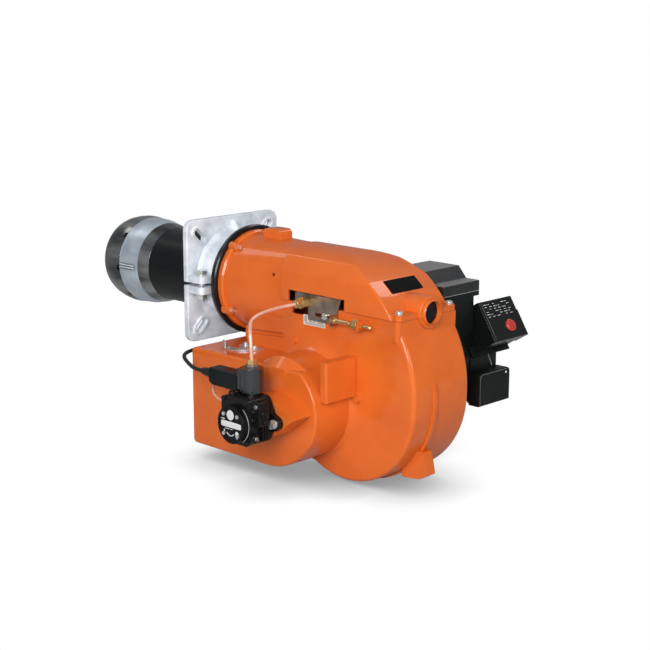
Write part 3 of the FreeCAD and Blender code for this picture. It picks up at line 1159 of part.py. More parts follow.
# Electrics

def build_electrics():
    y0 = PANEL_Y
    y1 = PANEL_END
    lid = prism([(PANEL_FRONT, PANEL_SEAM + SEAM_GAP), (PANEL_REAR, PANEL_SEAM + SEAM_GAP),
                 (PANEL_REAR, PANEL_LEDGE), (PANEL_LEDGE_X, PANEL_LEDGE), (PANEL_SLOPE_X, PANEL_TOP),
                 (PANEL_FRONT + 8, PANEL_TOP)], "xz", y0, y1)
    lid = round_edges(lid, 2.0, lambda e: straight_along(e, "y") and e.BoundBox.ZMin > PANEL_LEDGE - 1)
    room = prism([(PANEL_FRONT + 3, PANEL_SEAM), (PANEL_REAR - 3, PANEL_SEAM),
                  (PANEL_REAR - 3, PANEL_LEDGE - 3), (PANEL_LEDGE_X - 2, PANEL_LEDGE - 3),
                  (PANEL_SLOPE_X - 2, PANEL_TOP - 3), (PANEL_FRONT + 10, PANEL_TOP - 3)],
                 "xz", y0 + 3, y1 - 3)
    add("electric_cover", lid.cut(room))
    narrow = CONTROL_Y0 - 4
    base = block(PANEL_FRONT, PANEL_REAR, y0, narrow, PANEL_LOW, PANEL_SEAM)
    base = round_edges(base, 4.0, lambda e: straight_along(e, "y") and e.BoundBox.ZMax < PANEL_LOW + 1)
    base = base.cut(block(PANEL_FRONT + 4, PANEL_REAR - 4, y0 + 4, narrow - 4, PANEL_LOW + 4, PANEL_SEAM + 1))
    shelf = block(PANEL_FRONT, PANEL_REAR, narrow - 1, y1, PANEL_SEAM - 8, PANEL_SEAM)
    feet = [block(PANEL_FRONT + 16, PANEL_FRONT + 40, CASE_HALF, y0 + 1, -40, -12),
            block(PANEL_REAR - 44, PANEL_REAR - 20, CASE_HALF, y0 + 1, -40, -12)]
    carrier = block(-CONTROL_DEPTH - 4, -CONTROL_DEPTH, narrow - 8, CONTROL_Y1 - 2, -CONTROL_LENGTH - 7, -1)
    tilted(carrier)
    neck = block(PANEL_REAR - 6, PANEL_REAR, narrow - 4, CONTROL_Y1 - 27, PLUG_LOW + 2, PLUG_NECK_TOP)
    coil_y1 = narrow - 6
    coil = block(PANEL_FRONT + 12, PANEL_FRONT + 66, y0 + 8, coil_y1, PANEL_LOW + 4, PANEL_SEAM + 14)
    body = fuse([base, shelf, carrier, neck] + feet)
    body = body.cut(block(PANEL_FRONT + 4, PANEL_REAR - 4, y0 + 4, narrow - 4, PANEL_LOW + 4, PANEL_SEAM + 1))
    add("electric_base", body)
    add("ignition_transformer", round_edges(coil, 4.0, lambda e: straight_along(e, "z")))
    case = block(-CONTROL_DEPTH + SOCKET_DEPTH, 0, CONTROL_Y0, CONTROL_Y1, -CONTROL_LENGTH, 0)
    case = round_edges(case, 2.5, lambda e: straight_along(e, "y"))
    side = block(-CONTROL_DEPTH + SOCKET_DEPTH, -2, CONTROL_Y1 - 1, CONTROL_Y1 + 5, -CONTROL_LENGTH, -26)
    case = fuse([case, side])
    button_y = CONTROL_Y1 - 33
    button_z = -CONTROL_LENGTH + 22
    case = case.cut(rod("x", button_y, button_z, BUTTON_R + 0.3, -9, 1))
    tilted(case)
    add("control_box", case)
    socket = block(-CONTROL_DEPTH, -CONTROL_DEPTH + SOCKET_DEPTH, CONTROL_Y0 + 1, CONTROL_Y1 - 1,
                   -CONTROL_LENGTH + 1, -1)
    tilted(socket)
    add("control_socket", socket)
    button = rod("x", button_y, button_z, BUTTON_R, -9 + BUTTON_TRAVEL + 1, 4.0)
    button = round_edges(button, 2.0, lambda e: isinstance(e.Curve, Part.Circle) and e.BoundBox.XMin > 3.9)
    tilted(button)
    add("reset_button", button)
    plug_rear = 460.0
    plug = block(PANEL_REAR, plug_rear, 146, 229, PLUG_LOW, PLUG_TOP)
    plug = round_edges(plug, 8.0, lambda e: straight_along(e, "x") and e.BoundBox.ZMin > PLUG_TOP - 1)
    plug = round_edges(plug, 2.0, lambda e: straight_along(e, "y") and e.BoundBox.XMin > plug_rear - 1)
    add("plug_socket", plug)


def tilted(shape):
    """Turns a piece of the control box with its sloping face and puts it in place."""
    shape.rotate(V(0, 0, 0), V(0, 1, 0), -CONTROL_TILT)
    shape.translate(V(CONTROL_TOP_X, 0, CONTROL_TOP_Z))


def main():
    build_flange()
    build_head()
    casing_screws = build_casing()
    casing_screws += build_cover()
    build_fan()
    build_motor()
    casing_screws.append(build_damper())
    build_pump()
    plug_gland, cable_start = build_solenoid()
    build_pipes(plug_gland, cable_start)
    casing_screws.append(build_nozzle_line())
    add("casing_screws", Part.makeCompound(casing_screws))
    build_electrics()
    os.makedirs("parts", exist_ok=True)
    for name, shape in NODES.items():
        if not shape.isValid():
            print("invalid shape", name)
        shape.exportStep("parts/" + name + ".step")
    print(len(NODES), "nodes written")


main()
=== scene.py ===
import json
import logging
import math
from dataclasses import dataclass, field
from enum import Enum

import bpy
import numpy as np
from mathutils import Matrix, Vector


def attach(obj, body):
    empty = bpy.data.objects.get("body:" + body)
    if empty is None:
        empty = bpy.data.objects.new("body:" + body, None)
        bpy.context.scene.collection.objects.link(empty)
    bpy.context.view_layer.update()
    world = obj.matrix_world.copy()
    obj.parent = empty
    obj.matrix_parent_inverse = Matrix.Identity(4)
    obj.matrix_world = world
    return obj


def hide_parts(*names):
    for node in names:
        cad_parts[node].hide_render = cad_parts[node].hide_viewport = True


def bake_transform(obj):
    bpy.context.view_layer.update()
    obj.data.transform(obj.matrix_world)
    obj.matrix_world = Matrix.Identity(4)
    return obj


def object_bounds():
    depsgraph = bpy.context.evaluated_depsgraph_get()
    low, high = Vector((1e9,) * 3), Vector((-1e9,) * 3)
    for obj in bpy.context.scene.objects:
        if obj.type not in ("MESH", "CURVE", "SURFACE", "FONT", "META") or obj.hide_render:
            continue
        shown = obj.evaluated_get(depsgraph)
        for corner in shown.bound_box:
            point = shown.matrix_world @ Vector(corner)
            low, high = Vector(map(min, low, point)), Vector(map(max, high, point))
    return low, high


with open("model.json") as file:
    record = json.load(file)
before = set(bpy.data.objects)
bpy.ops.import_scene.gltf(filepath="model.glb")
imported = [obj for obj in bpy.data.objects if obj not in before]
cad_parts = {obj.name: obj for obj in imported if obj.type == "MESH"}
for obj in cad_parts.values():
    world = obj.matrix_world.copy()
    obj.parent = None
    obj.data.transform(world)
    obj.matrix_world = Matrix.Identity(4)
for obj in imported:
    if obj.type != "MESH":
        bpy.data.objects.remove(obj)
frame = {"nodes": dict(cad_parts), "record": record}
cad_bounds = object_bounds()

LOG = logging.getLogger("burner")

Triple = tuple[float, float, float]
Pair = tuple[float, float]
Shape = tuple[np.ndarray, np.ndarray]

MM = 0.001
WHITE = (1.0, 1.0, 1.0, 1.0)

# Camera, fitted to the photograph
CAMERA_PLACE = (1.9104, -1.6937, 0.4688)
CAMERA_RIGHT = (0.71203, 0.70215, 0.0)
CAMERA_UP = (-0.15150, 0.15363, 0.97646)
CAMERA_BACK = (0.68562, -0.69526, 0.21576)
CAMERA_LENS = 79.52
SENSOR_WIDTH = 36.0
VIEW_DEPTH = 100.0

# Shading that all finishes share
COLOUR_WANDER = (0.35, 0.65)
GRAIN_SPAN = (0.3, 0.7)
LEAST_ROUGHNESS = 0.02
# Painted sheen: the pale grey that up-facing faces are lightened towards, and the facing over which it comes
# in
PAINTED_SHEEN_COLOUR = (0.62, 0.61, 0.58, 1.0)
SHEEN_FACING = (0.84, 0.98)
EDGE_SAMPLES = 4
SHARP_ANGLE = math.radians(32)
WELD_DISTANCE = 0.00001

# The fuel pump's axis, in millimetres
PUMP_X = 283.0
PUMP_Z = -171.0


class Body(str, Enum):
    """Names of the rigid bodies that the new pieces ride on."""

    BURNER = "burner"
    HEAD = "head_carriage"


class Axis(str, Enum):
    """The row axes that a turned piece can stand on."""

    X = "x"
    Y = "y"
    Z = "z"


class Graph:
    """Small helper that adds shader nodes and links them."""

    def __init__(self, tree: bpy.types.NodeTree) -> None:
        """Keeps the node tree that everything is added to."""
        self.tree = tree

    def put(self, socket: bpy.types.NodeSocket, value: object) -> None:
        """Links an output socket to an input, or writes a constant there.

        Args:
            socket: the input.
            value: an output socket, or a number, colour or vector.
        """
        if isinstance(value, bpy.types.NodeSocket):
            self.tree.links.new(value, socket)
        else:
            socket.default_value = value

    def add(self, kind: str, settings: dict | None = None, **sockets: object) -> bpy.types.Node:
        """Adds a node.

        Args:
            kind: the node's type name.
            settings: properties of the node, by name.
            sockets: values or output sockets for its inputs, with spaces written as underscores.

        Returns:
            The new node.
        """
        node = self.tree.nodes.new(kind)
        for name, value in (settings or {}).items():
            setattr(node, name, value)
        for name, value in sockets.items():
            self.put(node.inputs[name.replace("_", " ")], value)
        return node

    def noise(self, place: bpy.types.NodeSocket, scale: float, detail: float) -> bpy.types.NodeSocket:
        """Noise at a place, from 0 to 1.

        Args:
            place: the coordinates.
            scale: how many waves there are in a metre.
            detail: how many finer layers lie on the first.

        Returns:
            The noise's factor.
        """
        node = self.add("ShaderNodeTexNoise", Vector=place, Scale=scale, Detail=detail, Roughness=0.55)
        return node.outputs["Fac"]

    def remap(self, value: bpy.types.NodeSocket, span: Pair, low: float, high: float) -> bpy.types.NodeSocket:
        """Maps a span linearly onto low to high and clamps it.

        Args:
            value: the number to map.
            span: where the value starts and ends.
            low: the result at the span's start.
            high: the result at its end.

        Returns:
            The mapped number.
        """
        node = self.add("ShaderNodeMapRange", Value=value, From_Min=span[0], From_Max=span[1], To_Min=low,
                        To_Max=high)
        return node.outputs["Result"]

    def mix(self, factor: bpy.types.NodeSocket, first: object, second: object) -> bpy.types.NodeSocket:
        """Mixes two colours.

        Args:
            factor: 0 for the first colour and 1 for the second.
            first: a colour or a socket.
            second: a colour or a socket.

        Returns:
            The mixed colour.
        """
        node = self.add("ShaderNodeMix", {"data_type": "RGBA"})
        # Inputs 6 and 7 and output 2 are the node's colours
        for index, value in ((0, factor), (6, first), (7, second)):
            self.put(node.inputs[index], value)
        return node.outputs[2]

    def bump(self, height: bpy.types.NodeSocket, distance: float,
             normal: bpy.types.NodeSocket | None) -> bpy.types.NodeSocket:
        """Bump normal from a height.

        Args:
            height: the height, from 0 to 1.
            distance: what a height of 1 is in metres.
            normal: the normal below it, where there is one.

        Returns:
            The new normal.
        """
        node = self.add("ShaderNodeBump", Strength=1.0, Distance=distance, Height=height)
        if normal is not None:
            self.put(node.inputs["Normal"], normal)
        return node.outputs["Normal"]

    def by_ray(self, others: bpy.types.NodeSocket, seen: bpy.types.NodeSocket,
               output: bpy.types.NodeSocket) -> None:
        """Shows one shader to the camera and another to every other ray.

        Args:
            others: the shader for light and reflections.
            seen: the shader for the camera.
            output: the surface input that takes the result.
        """
        path = self.add("ShaderNodeLightPath")
        blend = self.add("ShaderNodeMixShader")
        for index, value in enumerate((path.outputs["Is Camera Ray"], others, seen)):
            self.put(blend.inputs[index], value)
        self.put(output, blend.outputs[0])


@dataclass(frozen=True)
class Finish:
    """One procedural surface finish.

    The colour wanders between base and shade by a broad noise, fine grain moves the normal and the roughness,
    and a painted sheen, which stands in for reflections, lightens the colour where the surface faces up.
    """

    name: str
    base: Triple
    shade: Triple
    metallic: float = 0.0
    roughness: float = 0.4
    rough_spread: float = 0.08
    coat: float = 0.0
    coat_rough: float = 0.08
    specular: float = 0.5
    grain_scale: float = 900.0
    grain_height: float = 0.00002
    wave_scale: float = 60.0
    wave_height: float = 0.0
    wander_scale: float = 14.0
    stretch: Triple = (1.0, 1.0, 1.0)
    brushed: Triple | None = None
    edge_round: float = 0.0006
    # How strongly up-facing faces get the painted sheen, which stands in for reflections
    top_sheen: float = 0.0

    def colour(self, graph: Graph, place: bpy.types.NodeSocket) -> bpy.types.NodeSocket:
        """Base and shade mixed by the broad noise, with a painted sheen on top where the surface faces up.

        Args:
            graph: where the nodes go.
            place: Object coordinates.

        Returns:
            The colour.
        """
        drawn = graph.add("ShaderNodeMapping", Vector=place, Scale=self.stretch)
        broad = graph.noise(drawn.outputs["Vector"], self.wander_scale, 2.0)
        factor = graph.remap(broad, COLOUR_WANDER, 0.0, 1.0)
        colour = graph.mix(factor, (*self.base, 1.0), (*self.shade, 1.0))
        # Painted sheen: faces that point up are lightened towards a pale grey in place of reflections
        if self.top_sheen:
            geometry = graph.add("ShaderNodeNewGeometry")
            facing = graph.add("ShaderNodeSeparateXYZ", Vector=geometry.outputs["Normal"])
            sheen_amount = graph.remap(facing.outputs["Z"], SHEEN_FACING, 0.0, self.top_sheen)
            colour = graph.mix(sheen_amount, colour, PAINTED_SHEEN_COLOUR)
        return colour

    def grain(self, graph: Graph, place: bpy.types.NodeSocket) -> bpy.types.NodeSocket:
        """Fine noise, drawn out along the brushing where there is some.

        Args:
            graph: where the nodes go.
            place: Object coordinates.

        Returns:
            The grain, from 0 to 1.
        """
        if self.brushed is not None:
            place = graph.add("ShaderNodeMapping", Vector=place, Scale=self.brushed).outputs["Vector"]
        return graph.noise(place, self.grain_scale, 4.0)

    def normal(self, graph: Graph, place: bpy.types.NodeSocket,
               grain: bpy.types.NodeSocket) -> bpy.types.NodeSocket:
        """Eased edges, then broad waves, then the grain.

        Args:
            graph: where the nodes go.
            place: Object coordinates.
            grain: the fine noise.

        Returns:
            The shading normal.
        """
        normal = None
        if self.edge_round:
            bevel = graph.add("ShaderNodeBevel", {"samples": EDGE_SAMPLES}, Radius=self.edge_round)
            normal = bevel.outputs["Normal"]
        if self.wave_height:
            normal = graph.bump(graph.noise(place, self.wave_scale, 1.0), self.wave_height, normal)
        return graph.bump(grain, self.grain_height, normal)

    def build(self) -> bpy.types.Material:
        """Makes the Blender material.

        Returns:
            The material, with Object coordinates as its only source of position.
        """
        material = bpy.data.materials.new(self.name)
        material.use_nodes = True
        graph = Graph(material.node_tree)
        place = graph.add("ShaderNodeTexCoord").outputs["Object"]
        grain = self.grain(graph, place)
        least = max(self.roughness - self.rough_spread, LEAST_ROUGHNESS)
        shader = material.node_tree.nodes["Principled BSDF"]
        for name, value in (
                ("Base Color", self.colour(graph, place)),
                ("Roughness", graph.remap(grain, GRAIN_SPAN, least, self.roughness + self.rough_spread)),
                ("Normal", self.normal(graph, place, grain)),
                ("Metallic", self.metallic),
                ("Coat Weight", self.coat),
                ("Coat Roughness", self.coat_rough),
                ("Specular IOR Level", self.specular)):
            graph.put(shader.inputs[name], value)
        return material


FINISHES = {
    "orange_paint": Finish("orange enamel", (0.75, 0.150, 0.021), (0.69, 0.130, 0.017), roughness=0.34,
                           rough_spread=0.06, coat=0.6, specular=0.12, grain_scale=420.0,
                           grain_height=0.00003, wave_scale=45.0, wave_height=0.00020, edge_round=0.0018),
    "cast_aluminium": Finish("cast aluminium", (0.88, 0.92, 0.97), (0.64, 0.68, 0.74), metallic=0.15,
                             roughness=0.44, rough_spread=0.12, grain_scale=450.0, grain_height=0.00022,
                             wander_scale=42.0, edge_round=0.0016),
    "zinc_steel": Finish("zinc plate", (0.80, 0.80, 0.78), (0.66, 0.66, 0.64), metallic=0.75, roughness=0.24,
                         edge_round=0.0005),
    "tube_black": Finish("satin black tube", (0.005, 0.007, 0.007), (0.008, 0.010, 0.010), roughness=0.34,
                         specular=0.2),
    "ring_black": Finish("gloss black ring", (0.004, 0.004, 0.005), (0.007, 0.007, 0.008), roughness=0.22,
                         specular=0.4, edge_round=0.001),
    # Streaks drawn out along X: dark heat tint and soot, with light streaks painted in as the head's
    # reflection bands
    "burnt_steel": Finish("dark heat-tinted steel", (0.42, 0.43, 0.42), (0.09, 0.092, 0.09), metallic=0.85,
                          roughness=0.20, wander_scale=28.0, stretch=(0.18, 1.0, 1.0), edge_round=0.0008),
    "band_steel": Finish("sheet steel band", (0.64, 0.71, 0.78), (0.42, 0.48, 0.54), metallic=0.45,
                         roughness=0.34, rough_spread=0.12, wander_scale=22.0, edge_round=0.0004),
    # The near-black colour is painted shade: it stands for the dark inside of the sight port behind the glass
    "clear_glass": Finish("sight glass darkened with painted shade", (0.006, 0.007, 0.010), (0.010, 0.011, 0.015), roughness=0.10,
                          rough_spread=0.02, specular=0.2, edge_round=0.0),
    "black_gloss": Finish("gloss black moulding", (0.004, 0.005, 0.005), (0.007, 0.008, 0.008),
                          roughness=0.2, rough_spread=0.04, specular=0.4, edge_round=0.0014),
    "sheet_zinc": Finish("galvanised sheet", (0.66, 0.67, 0.68), (0.48, 0.50, 0.52), metallic=0.7,
                         roughness=0.34, wander_scale=70.0, edge_round=0.0003),
    "motor_paint": Finish("black motor paint", (0.009, 0.009, 0.010), (0.015, 0.015, 0.016), roughness=0.45,
                          specular=0.3, edge_round=0.001),
    "core_steel": Finish("machined steel", (0.42, 0.42, 0.43), (0.34, 0.34, 0.35), metallic=1.0,
                         roughness=0.34),
    "black_plastic": Finish("matt black moulding", (0.005, 0.007, 0.007), (0.008, 0.010, 0.010),
                            roughness=0.36, specular=0.2, grain_scale=1500.0, edge_round=0.0016),
    "brass_fitting": Finish("turned brass", (0.80, 0.58, 0.28), (0.66, 0.44, 0.18), metallic=0.85,
                            roughness=0.22, edge_round=0.0005),
    "pump_black": Finish("black cast pump", (0.004, 0.004, 0.004), (0.008, 0.008, 0.008), roughness=0.24,
                         rough_spread=0.10, specular=0.22, grain_scale=600.0, grain_height=0.00014,
                         edge_round=0.001),
    "pump_cover_black": Finish("black pump cover", (0.004, 0.004, 0.005), (0.007, 0.007, 0.008),
                               roughness=0.25, specular=0.14, edge_round=0.0008),
    "coil_plastic": Finish("potted coil", (0.010, 0.012, 0.013), (0.016, 0.018, 0.020), roughness=0.22,
                           specular=0.9, edge_round=0.001),
    "black_rubber": Finish("black rubber", (0.010, 0.010, 0.011), (0.015, 0.015, 0.016), roughness=0.45,
                           specular=0.35),
    "copper_pipe": Finish("drawn copper", (0.88, 0.50, 0.37), (0.80, 0.42, 0.30), metallic=0.35,
                          roughness=0.26, wander_scale=60.0, edge_round=0.0),
    "white_ceramic": Finish("glazed ceramic", (0.80, 0.78, 0.72), (0.74, 0.71, 0.64), roughness=0.2,
                            coat=0.4),
    "plate_steel": Finish("dark polished plate", (0.50, 0.40, 0.32), (0.20, 0.15, 0.11), metallic=0.9,
                          roughness=0.20, grain_scale=300.0, wander_scale=30.0, brushed=(1.0, 1.0, 18.0)),
    "red_plastic": Finish("red button", (0.58, 0.055, 0.042), (0.48, 0.035, 0.028), roughness=0.22,
                          coat=0.5),
    # The cover's up-facing faces get a painted sheen in place of reflections
    "cover_sheen": Finish("satin black cover", (0.014, 0.015, 0.015), (0.022, 0.023, 0.023), roughness=0.30,
                          grain_scale=1500.0, edge_round=0.0018, top_sheen=0.30),
    "badge_black": Finish("matt badge black", (0.004, 0.004, 0.004), (0.007, 0.007, 0.007), roughness=0.6,
                          specular=0.06, edge_round=0.0004),
    "white_print": Finish("white print", (0.78, 0.78, 0.76), (0.66, 0.66, 0.64), roughness=0.5,
                          edge_round=0.0),
    "scale_plate": Finish("pale scale plate", (0.72, 0.69, 0.62), (0.62, 0.59, 0.52), edge_round=0.0002),
    "scale_print": Finish("scale print", (0.03, 0.03, 0.03), (0.05, 0.05, 0.05), roughness=0.5,
                          edge_round=0.0),
    # Light grey lines: painted edge highlights on black mouldings, and dark groove lines on the head's band
    "grey_highlight_and_groove": Finish("grey painted highlight and groove line", (0.16, 0.17, 0.17), (0.09, 0.10, 0.10), roughness=0.3,
                        edge_round=0.0),
    "weld_bead": Finish("weld bead", (0.82, 0.86, 0.90), (0.60, 0.64, 0.70), metallic=0.2, roughness=0.3,
                        wander_scale=90.0, edge_round=0.0),
    # Light grey lines: the housing's seams, and a painted highlight along the pump cover's rim
    "seam_and_highlight_line": Finish("light seam and painted highlight line", (0.42, 0.43, 0.43), (0.24, 0.25, 0.25), roughness=0.3,
                        wander_scale=50.0, edge_round=0.0),
}

# Nodes that don't wear their slot's own finish
NODE_FINISH = {
    "electric_cover": "cover_sheen",
    "head_scale": "scale_plate",
    "adjuster_knob": "brass_fitting",
    "solenoid_stem": "burnt_steel",
    "badge_plate": "badge_black",
    "adjuster_spindle": "brass_fitting",
}

MATERIALS = {slot: finish.build() for slot, finish in FINISHES.items()}


def smoothing_group() -> bpy.types.NodeTree:
    """Geometry nodes that shade smooth and keep the edges beyond SHARP_ANGLE sharp.

    Returns:
        The node group.
    """
    group = bpy.data.node_groups.new("smooth by angle", "GeometryNodeTree")
    group.interface.new_socket("Geometry", in_out="INPUT", socket_type="NodeSocketGeometry")
    group.interface.new_socket("Geometry", in_out="OUTPUT", socket_type="NodeSocketGeometry")
    source = group.nodes.new("NodeGroupInput")
    target = group.nodes.new("NodeGroupOutput")
    faces = group.nodes.new("GeometryNodeSetShadeSmooth")
    edges = group.nodes.new("GeometryNodeSetShadeSmooth")
    edges.domain = "EDGE"
    edges.inputs["Shade Smooth"].default_value = False
    angle = group.nodes.new("GeometryNodeInputMeshEdgeAngle")
    compare = group.nodes.new("FunctionNodeCompare")
    compare.operation = "GREATER_THAN"
    compare.inputs[1].default_value = SHARP_ANGLE
    link = group.links.new
    link(source.outputs[0], faces.inputs["Geometry"])
    link(faces.outputs[0], edges.inputs["Geometry"])
    link(angle.outputs["Unsigned Angle"], compare.inputs[0])
    link(compare.outputs["Result"], edges.inputs["Selection"])
    link(edges.outputs[0], target.inputs[0])
    return group


SMOOTHING = smoothing_group()


def dress_cad_node(name: str, slot: str) -> None:
    """Gives a CAD node its finish and smooth shading, without touching its vertices.

    Args:
        name: the node's name.
        slot: the material slot.
    """
    finish = NODE_FINISH.get(name, slot)
    piece = frame["nodes"][name]
    piece.data.materials.clear()
    piece.data.materials.append(MATERIALS[finish])
    custom = piece.data.attributes.get("custom_normal")
    if custom is not None:
        piece.data.attributes.remove(custom)
    weld = piece.modifiers.new("weld", "WELD")
    weld.merge_threshold = WELD_DISTANCE
    smooth = piece.modifiers.new("smooth", "NODES")
    smooth.node_group = SMOOTHING
    LOG.info("dressed %s in %s", name, finish)


def mesh_object(name: str, shape: Shape, slot: str) -> bpy.types.Object:
    """Makes a smooth mesh object from arrays.

    Args:
        name: the object's name.
        shape: N by 3 places in metres, and M by 4 vertex numbers.
        slot: the finish, which is also its slot where the record has one of that name.

    Returns:
        The object, linked to the scene.
    """
    vertices, quads = shape
    mesh = bpy.data.meshes.new(name)
    mesh.vertices.add(len(vertices))
    mesh.vertices.foreach_set("co", np.ascontiguousarray(vertices, np.float32).ravel())
    mesh.loops.add(quads.size)
    mesh.loops.foreach_set("vertex_index", np.ascontiguousarray(quads, np.int32).ravel())
    mesh.polygons.add(len(quads))
    mesh.polygons.foreach_set("loop_start", np.arange(0, quads.size, 4, dtype=np.int32))
    mesh.polygons.foreach_set("use_smooth", np.ones(len(quads), bool))
    mesh.update(calc_edges=True)
    mesh.validate()
    mesh.materials.append(MATERIALS[slot])
    piece = bpy.data.objects.new(name, mesh)
    bpy.context.scene.collection.objects.link(piece)
    LOG.info("made %s in %s", name, slot)
    return piece


def fix_to_burner(name: str, shape: Shape, slot: str) -> None:
    """Makes a piece and lets it ride on the burner's body; its arguments are those of mesh_object."""
    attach(mesh_object(name, shape, slot), Body.BURNER.value)


def grid_quads(rows: int, columns: int, wrap_rows: bool, wrap_columns: bool) -> np.ndarray:
    """Quads of a grid of vertices numbered row by row.

    The quad at row a and column b joins (a, b), (a, b + 1), (a + 1, b + 1) and (a + 1, b), where a vertex has
    the number of its row times the columns, plus its column.

    Args:
        rows: number of rows of vertices.
        columns: number of vertices in a row.
        wrap_rows: whether the last row joins the first.
        wrap_columns: whether the last column joins the first.

    Returns:
        M by 4 vertex numbers.
    """
    row_numbers = np.arange(rows if wrap_rows else rows - 1)
    column_numbers = np.arange(columns if wrap_columns else columns - 1)
    a, b = np.meshgrid(row_numbers, column_numbers, indexing="ij")
    next_a = (a + 1) % rows
    next_b = (b + 1) % columns
    corners = [a * columns + b, a * columns + next_b, next_a * columns + next_b, next_a * columns + b]
    return np.stack(corners, axis=-1).reshape(-1, 4)


def smooth_path(points: np.ndarray, spacing: float) -> np.ndarray:
    """Straight runs joined by tangent arcs, as in the CAD model, sampled along the way.

    The setback of each arc is 0.45 of the shorter of its two runs, and its radius is that setback over the
    tangent of half the turn. A place on the arc is its centre, plus the arm to its start times the cosine of
    the angle, plus the way in times the radius and the sine of the angle.

    Args:
        points: the route's corners in metres.
        spacing: distance between samples on an arc.

    Returns:
        Places along the path.
    """
    out = [points[0]]
    for before, corner, after in zip(points, points[1:], points[2:]):
        into = corner - before
        leave = after - corner
        shorter = min(np.linalg.norm(into), np.linalg.norm(leave))
        into = into / np.linalg.norm(into)
        leave = leave / np.linalg.norm(leave)
        turn = math.acos(float(np.clip(into @ leave, -1, 1)))
        setback = 0.45 * shorter
        radius = setback / math.tan(turn / 2)
        inward = (leave - into) / np.linalg.norm(leave - into)
        centre = corner + inward * (radius / math.cos(turn / 2))
        arm = corner - into * setback - centre
        angle = np.linspace(0, turn, max(3, int(radius * turn / spacing)))[:, None]
        out.extend(list(centre + arm * np.cos(angle) + into * radius * np.sin(angle)))
    out.append(points[-1])
    return np.array(out)


def sweep(path: np.ndarray, radii: np.ndarray, sides: int = 28) -> Shape:
    """Tube round a path, turned along with it so that it doesn't twist.

    A vertex is its point of the path, plus the radius times one side direction by the cosine of its angle
    and the other by the sine. The first is carried from point to point and kept square to the path, and the
    other is the cross product of the path's direction and the first.

    Args:
        path: N by 3 places.
        radii: N radii.
        sides: number of vertices round the tube.

    Returns:
        Vertices and quads.
    """
    tangent = np.gradient(path, axis=0)
    tangent /= np.linalg.norm(tangent, axis=1)[:, None]
    side = np.zeros_like(path)
    upright = abs(tangent[0][2]) >= 0.9
    current = np.cross(tangent[0], (1.0, 0.0, 0.0) if upright else (0.0, 0.0, 1.0))
    for index, direction in enumerate(tangent):
        current = current - direction * (current @ direction)
        current = current / np.linalg.norm(current)
        side[index] = current
    other = np.cross(tangent, side)
    turn = np.linspace(0, 2 * math.pi, sides, endpoint=False)
    ring = side[:, None, :] * np.cos(turn)[None, :, None] + other[:, None, :] * np.sin(turn)[None, :, None]
    vertices = path[:, None, :] + ring * radii[:, None, None]
    return vertices.reshape(-1, 3), grid_quads(len(path), sides, False, True)


def lathe(profile: np.ndarray, axis: Axis, centre: Triple, sides: int = 96, closed: bool = True) -> Shape:
    """Surface of revolution about a line parallel to a row axis.

    Across the axis a vertex lies at its radius times the cosine and the sine of its turn.

    Args:
        profile: N by 2 pairs of place along the axis and radius, in metres.
        axis: the axis that the line is parallel to.
        centre: a point on the line.
        sides: vertices round the axis.
        closed: whether the profile's end joins its start.

    Returns:
        Vertices and quads.
    """
    turn = np.linspace(0, 2 * math.pi, sides, endpoint=False)
    along = np.repeat(profile[:, 0][:, None], sides, axis=1)
    first = profile[:, 1][:, None] * np.cos(turn)[None, :]
    second = profile[:, 1][:, None] * np.sin(turn)[None, :]
    orders = {Axis.X: (along, first, second), Axis.Y: (second, along, first), Axis.Z: (first, second, along)}
    vertices = np.stack(orders[axis], axis=-1) + np.array(centre)
    return vertices.reshape(-1, 3), grid_quads(len(profile), sides, closed, True)


def slab(outline: np.ndarray, start: float, end: float, rounding: float) -> Shape:
    """A moulded panel with a convex outline, seen along X, with eased rims.

    Each ring of vertices is the outline scaled towards its middle, by 1 along the panel's edge, a little less
    at its rims, and almost to nothing in the middle of its faces.

    Args:
        outline: N by 2 corners (y, z) in millimetres.
        start: X of its back.
        end: X of its front.
        rounding: how far the rims are eased.

    Returns:
        Vertices in metres and quads.
    """
    middle = outline.mean(axis=0)
    reach = np.linalg.norm(outline - middle, axis=1).mean()
    eased = 1.0 - rounding / reach
    closing = 0.01
    places = np.array([start, start, start + rounding, end - rounding, end, end])
    scales = np.array([closing, eased, 1.0, 1.0, eased, closing])
    rings = middle + (outline - middle)[None] * scales[:, None, None]
    along = np.broadcast_to(places[:, None, None], (len(places), len(outline), 1))
    vertices = np.concatenate([along, rings], axis=2).reshape(-1, 3) * MM
    return vertices, grid_quads(len(places), len(outline), False, True)


@dataclass
class OilPipe:
    """The copper pipe from the valve's nut up to the union on the side plate."""

    radius: float = 0.003
    spacing: float = 0.0015
    points: list[Triple] = field(default_factory=lambda: [
        (283, -208, -80.5), (282, -208, -57), (275, -204, -31), (261, -190, -16), (253, -162, -11),
        (253, -124, -7), (263, -92.4, -4)])

    def build(self) -> None:
        """Makes one tube along the route, and hides the two CAD pipes that it stands in for."""
        path = smooth_path(np.array(self.points) * MM, self.spacing)
        piece = mesh_object("oil_pipe", sweep(path, np.full(len(path), self.radius)), "copper_pipe")
        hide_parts("nozzle_pipe_lower", "nozzle_pipe_upper")
        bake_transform(piece)


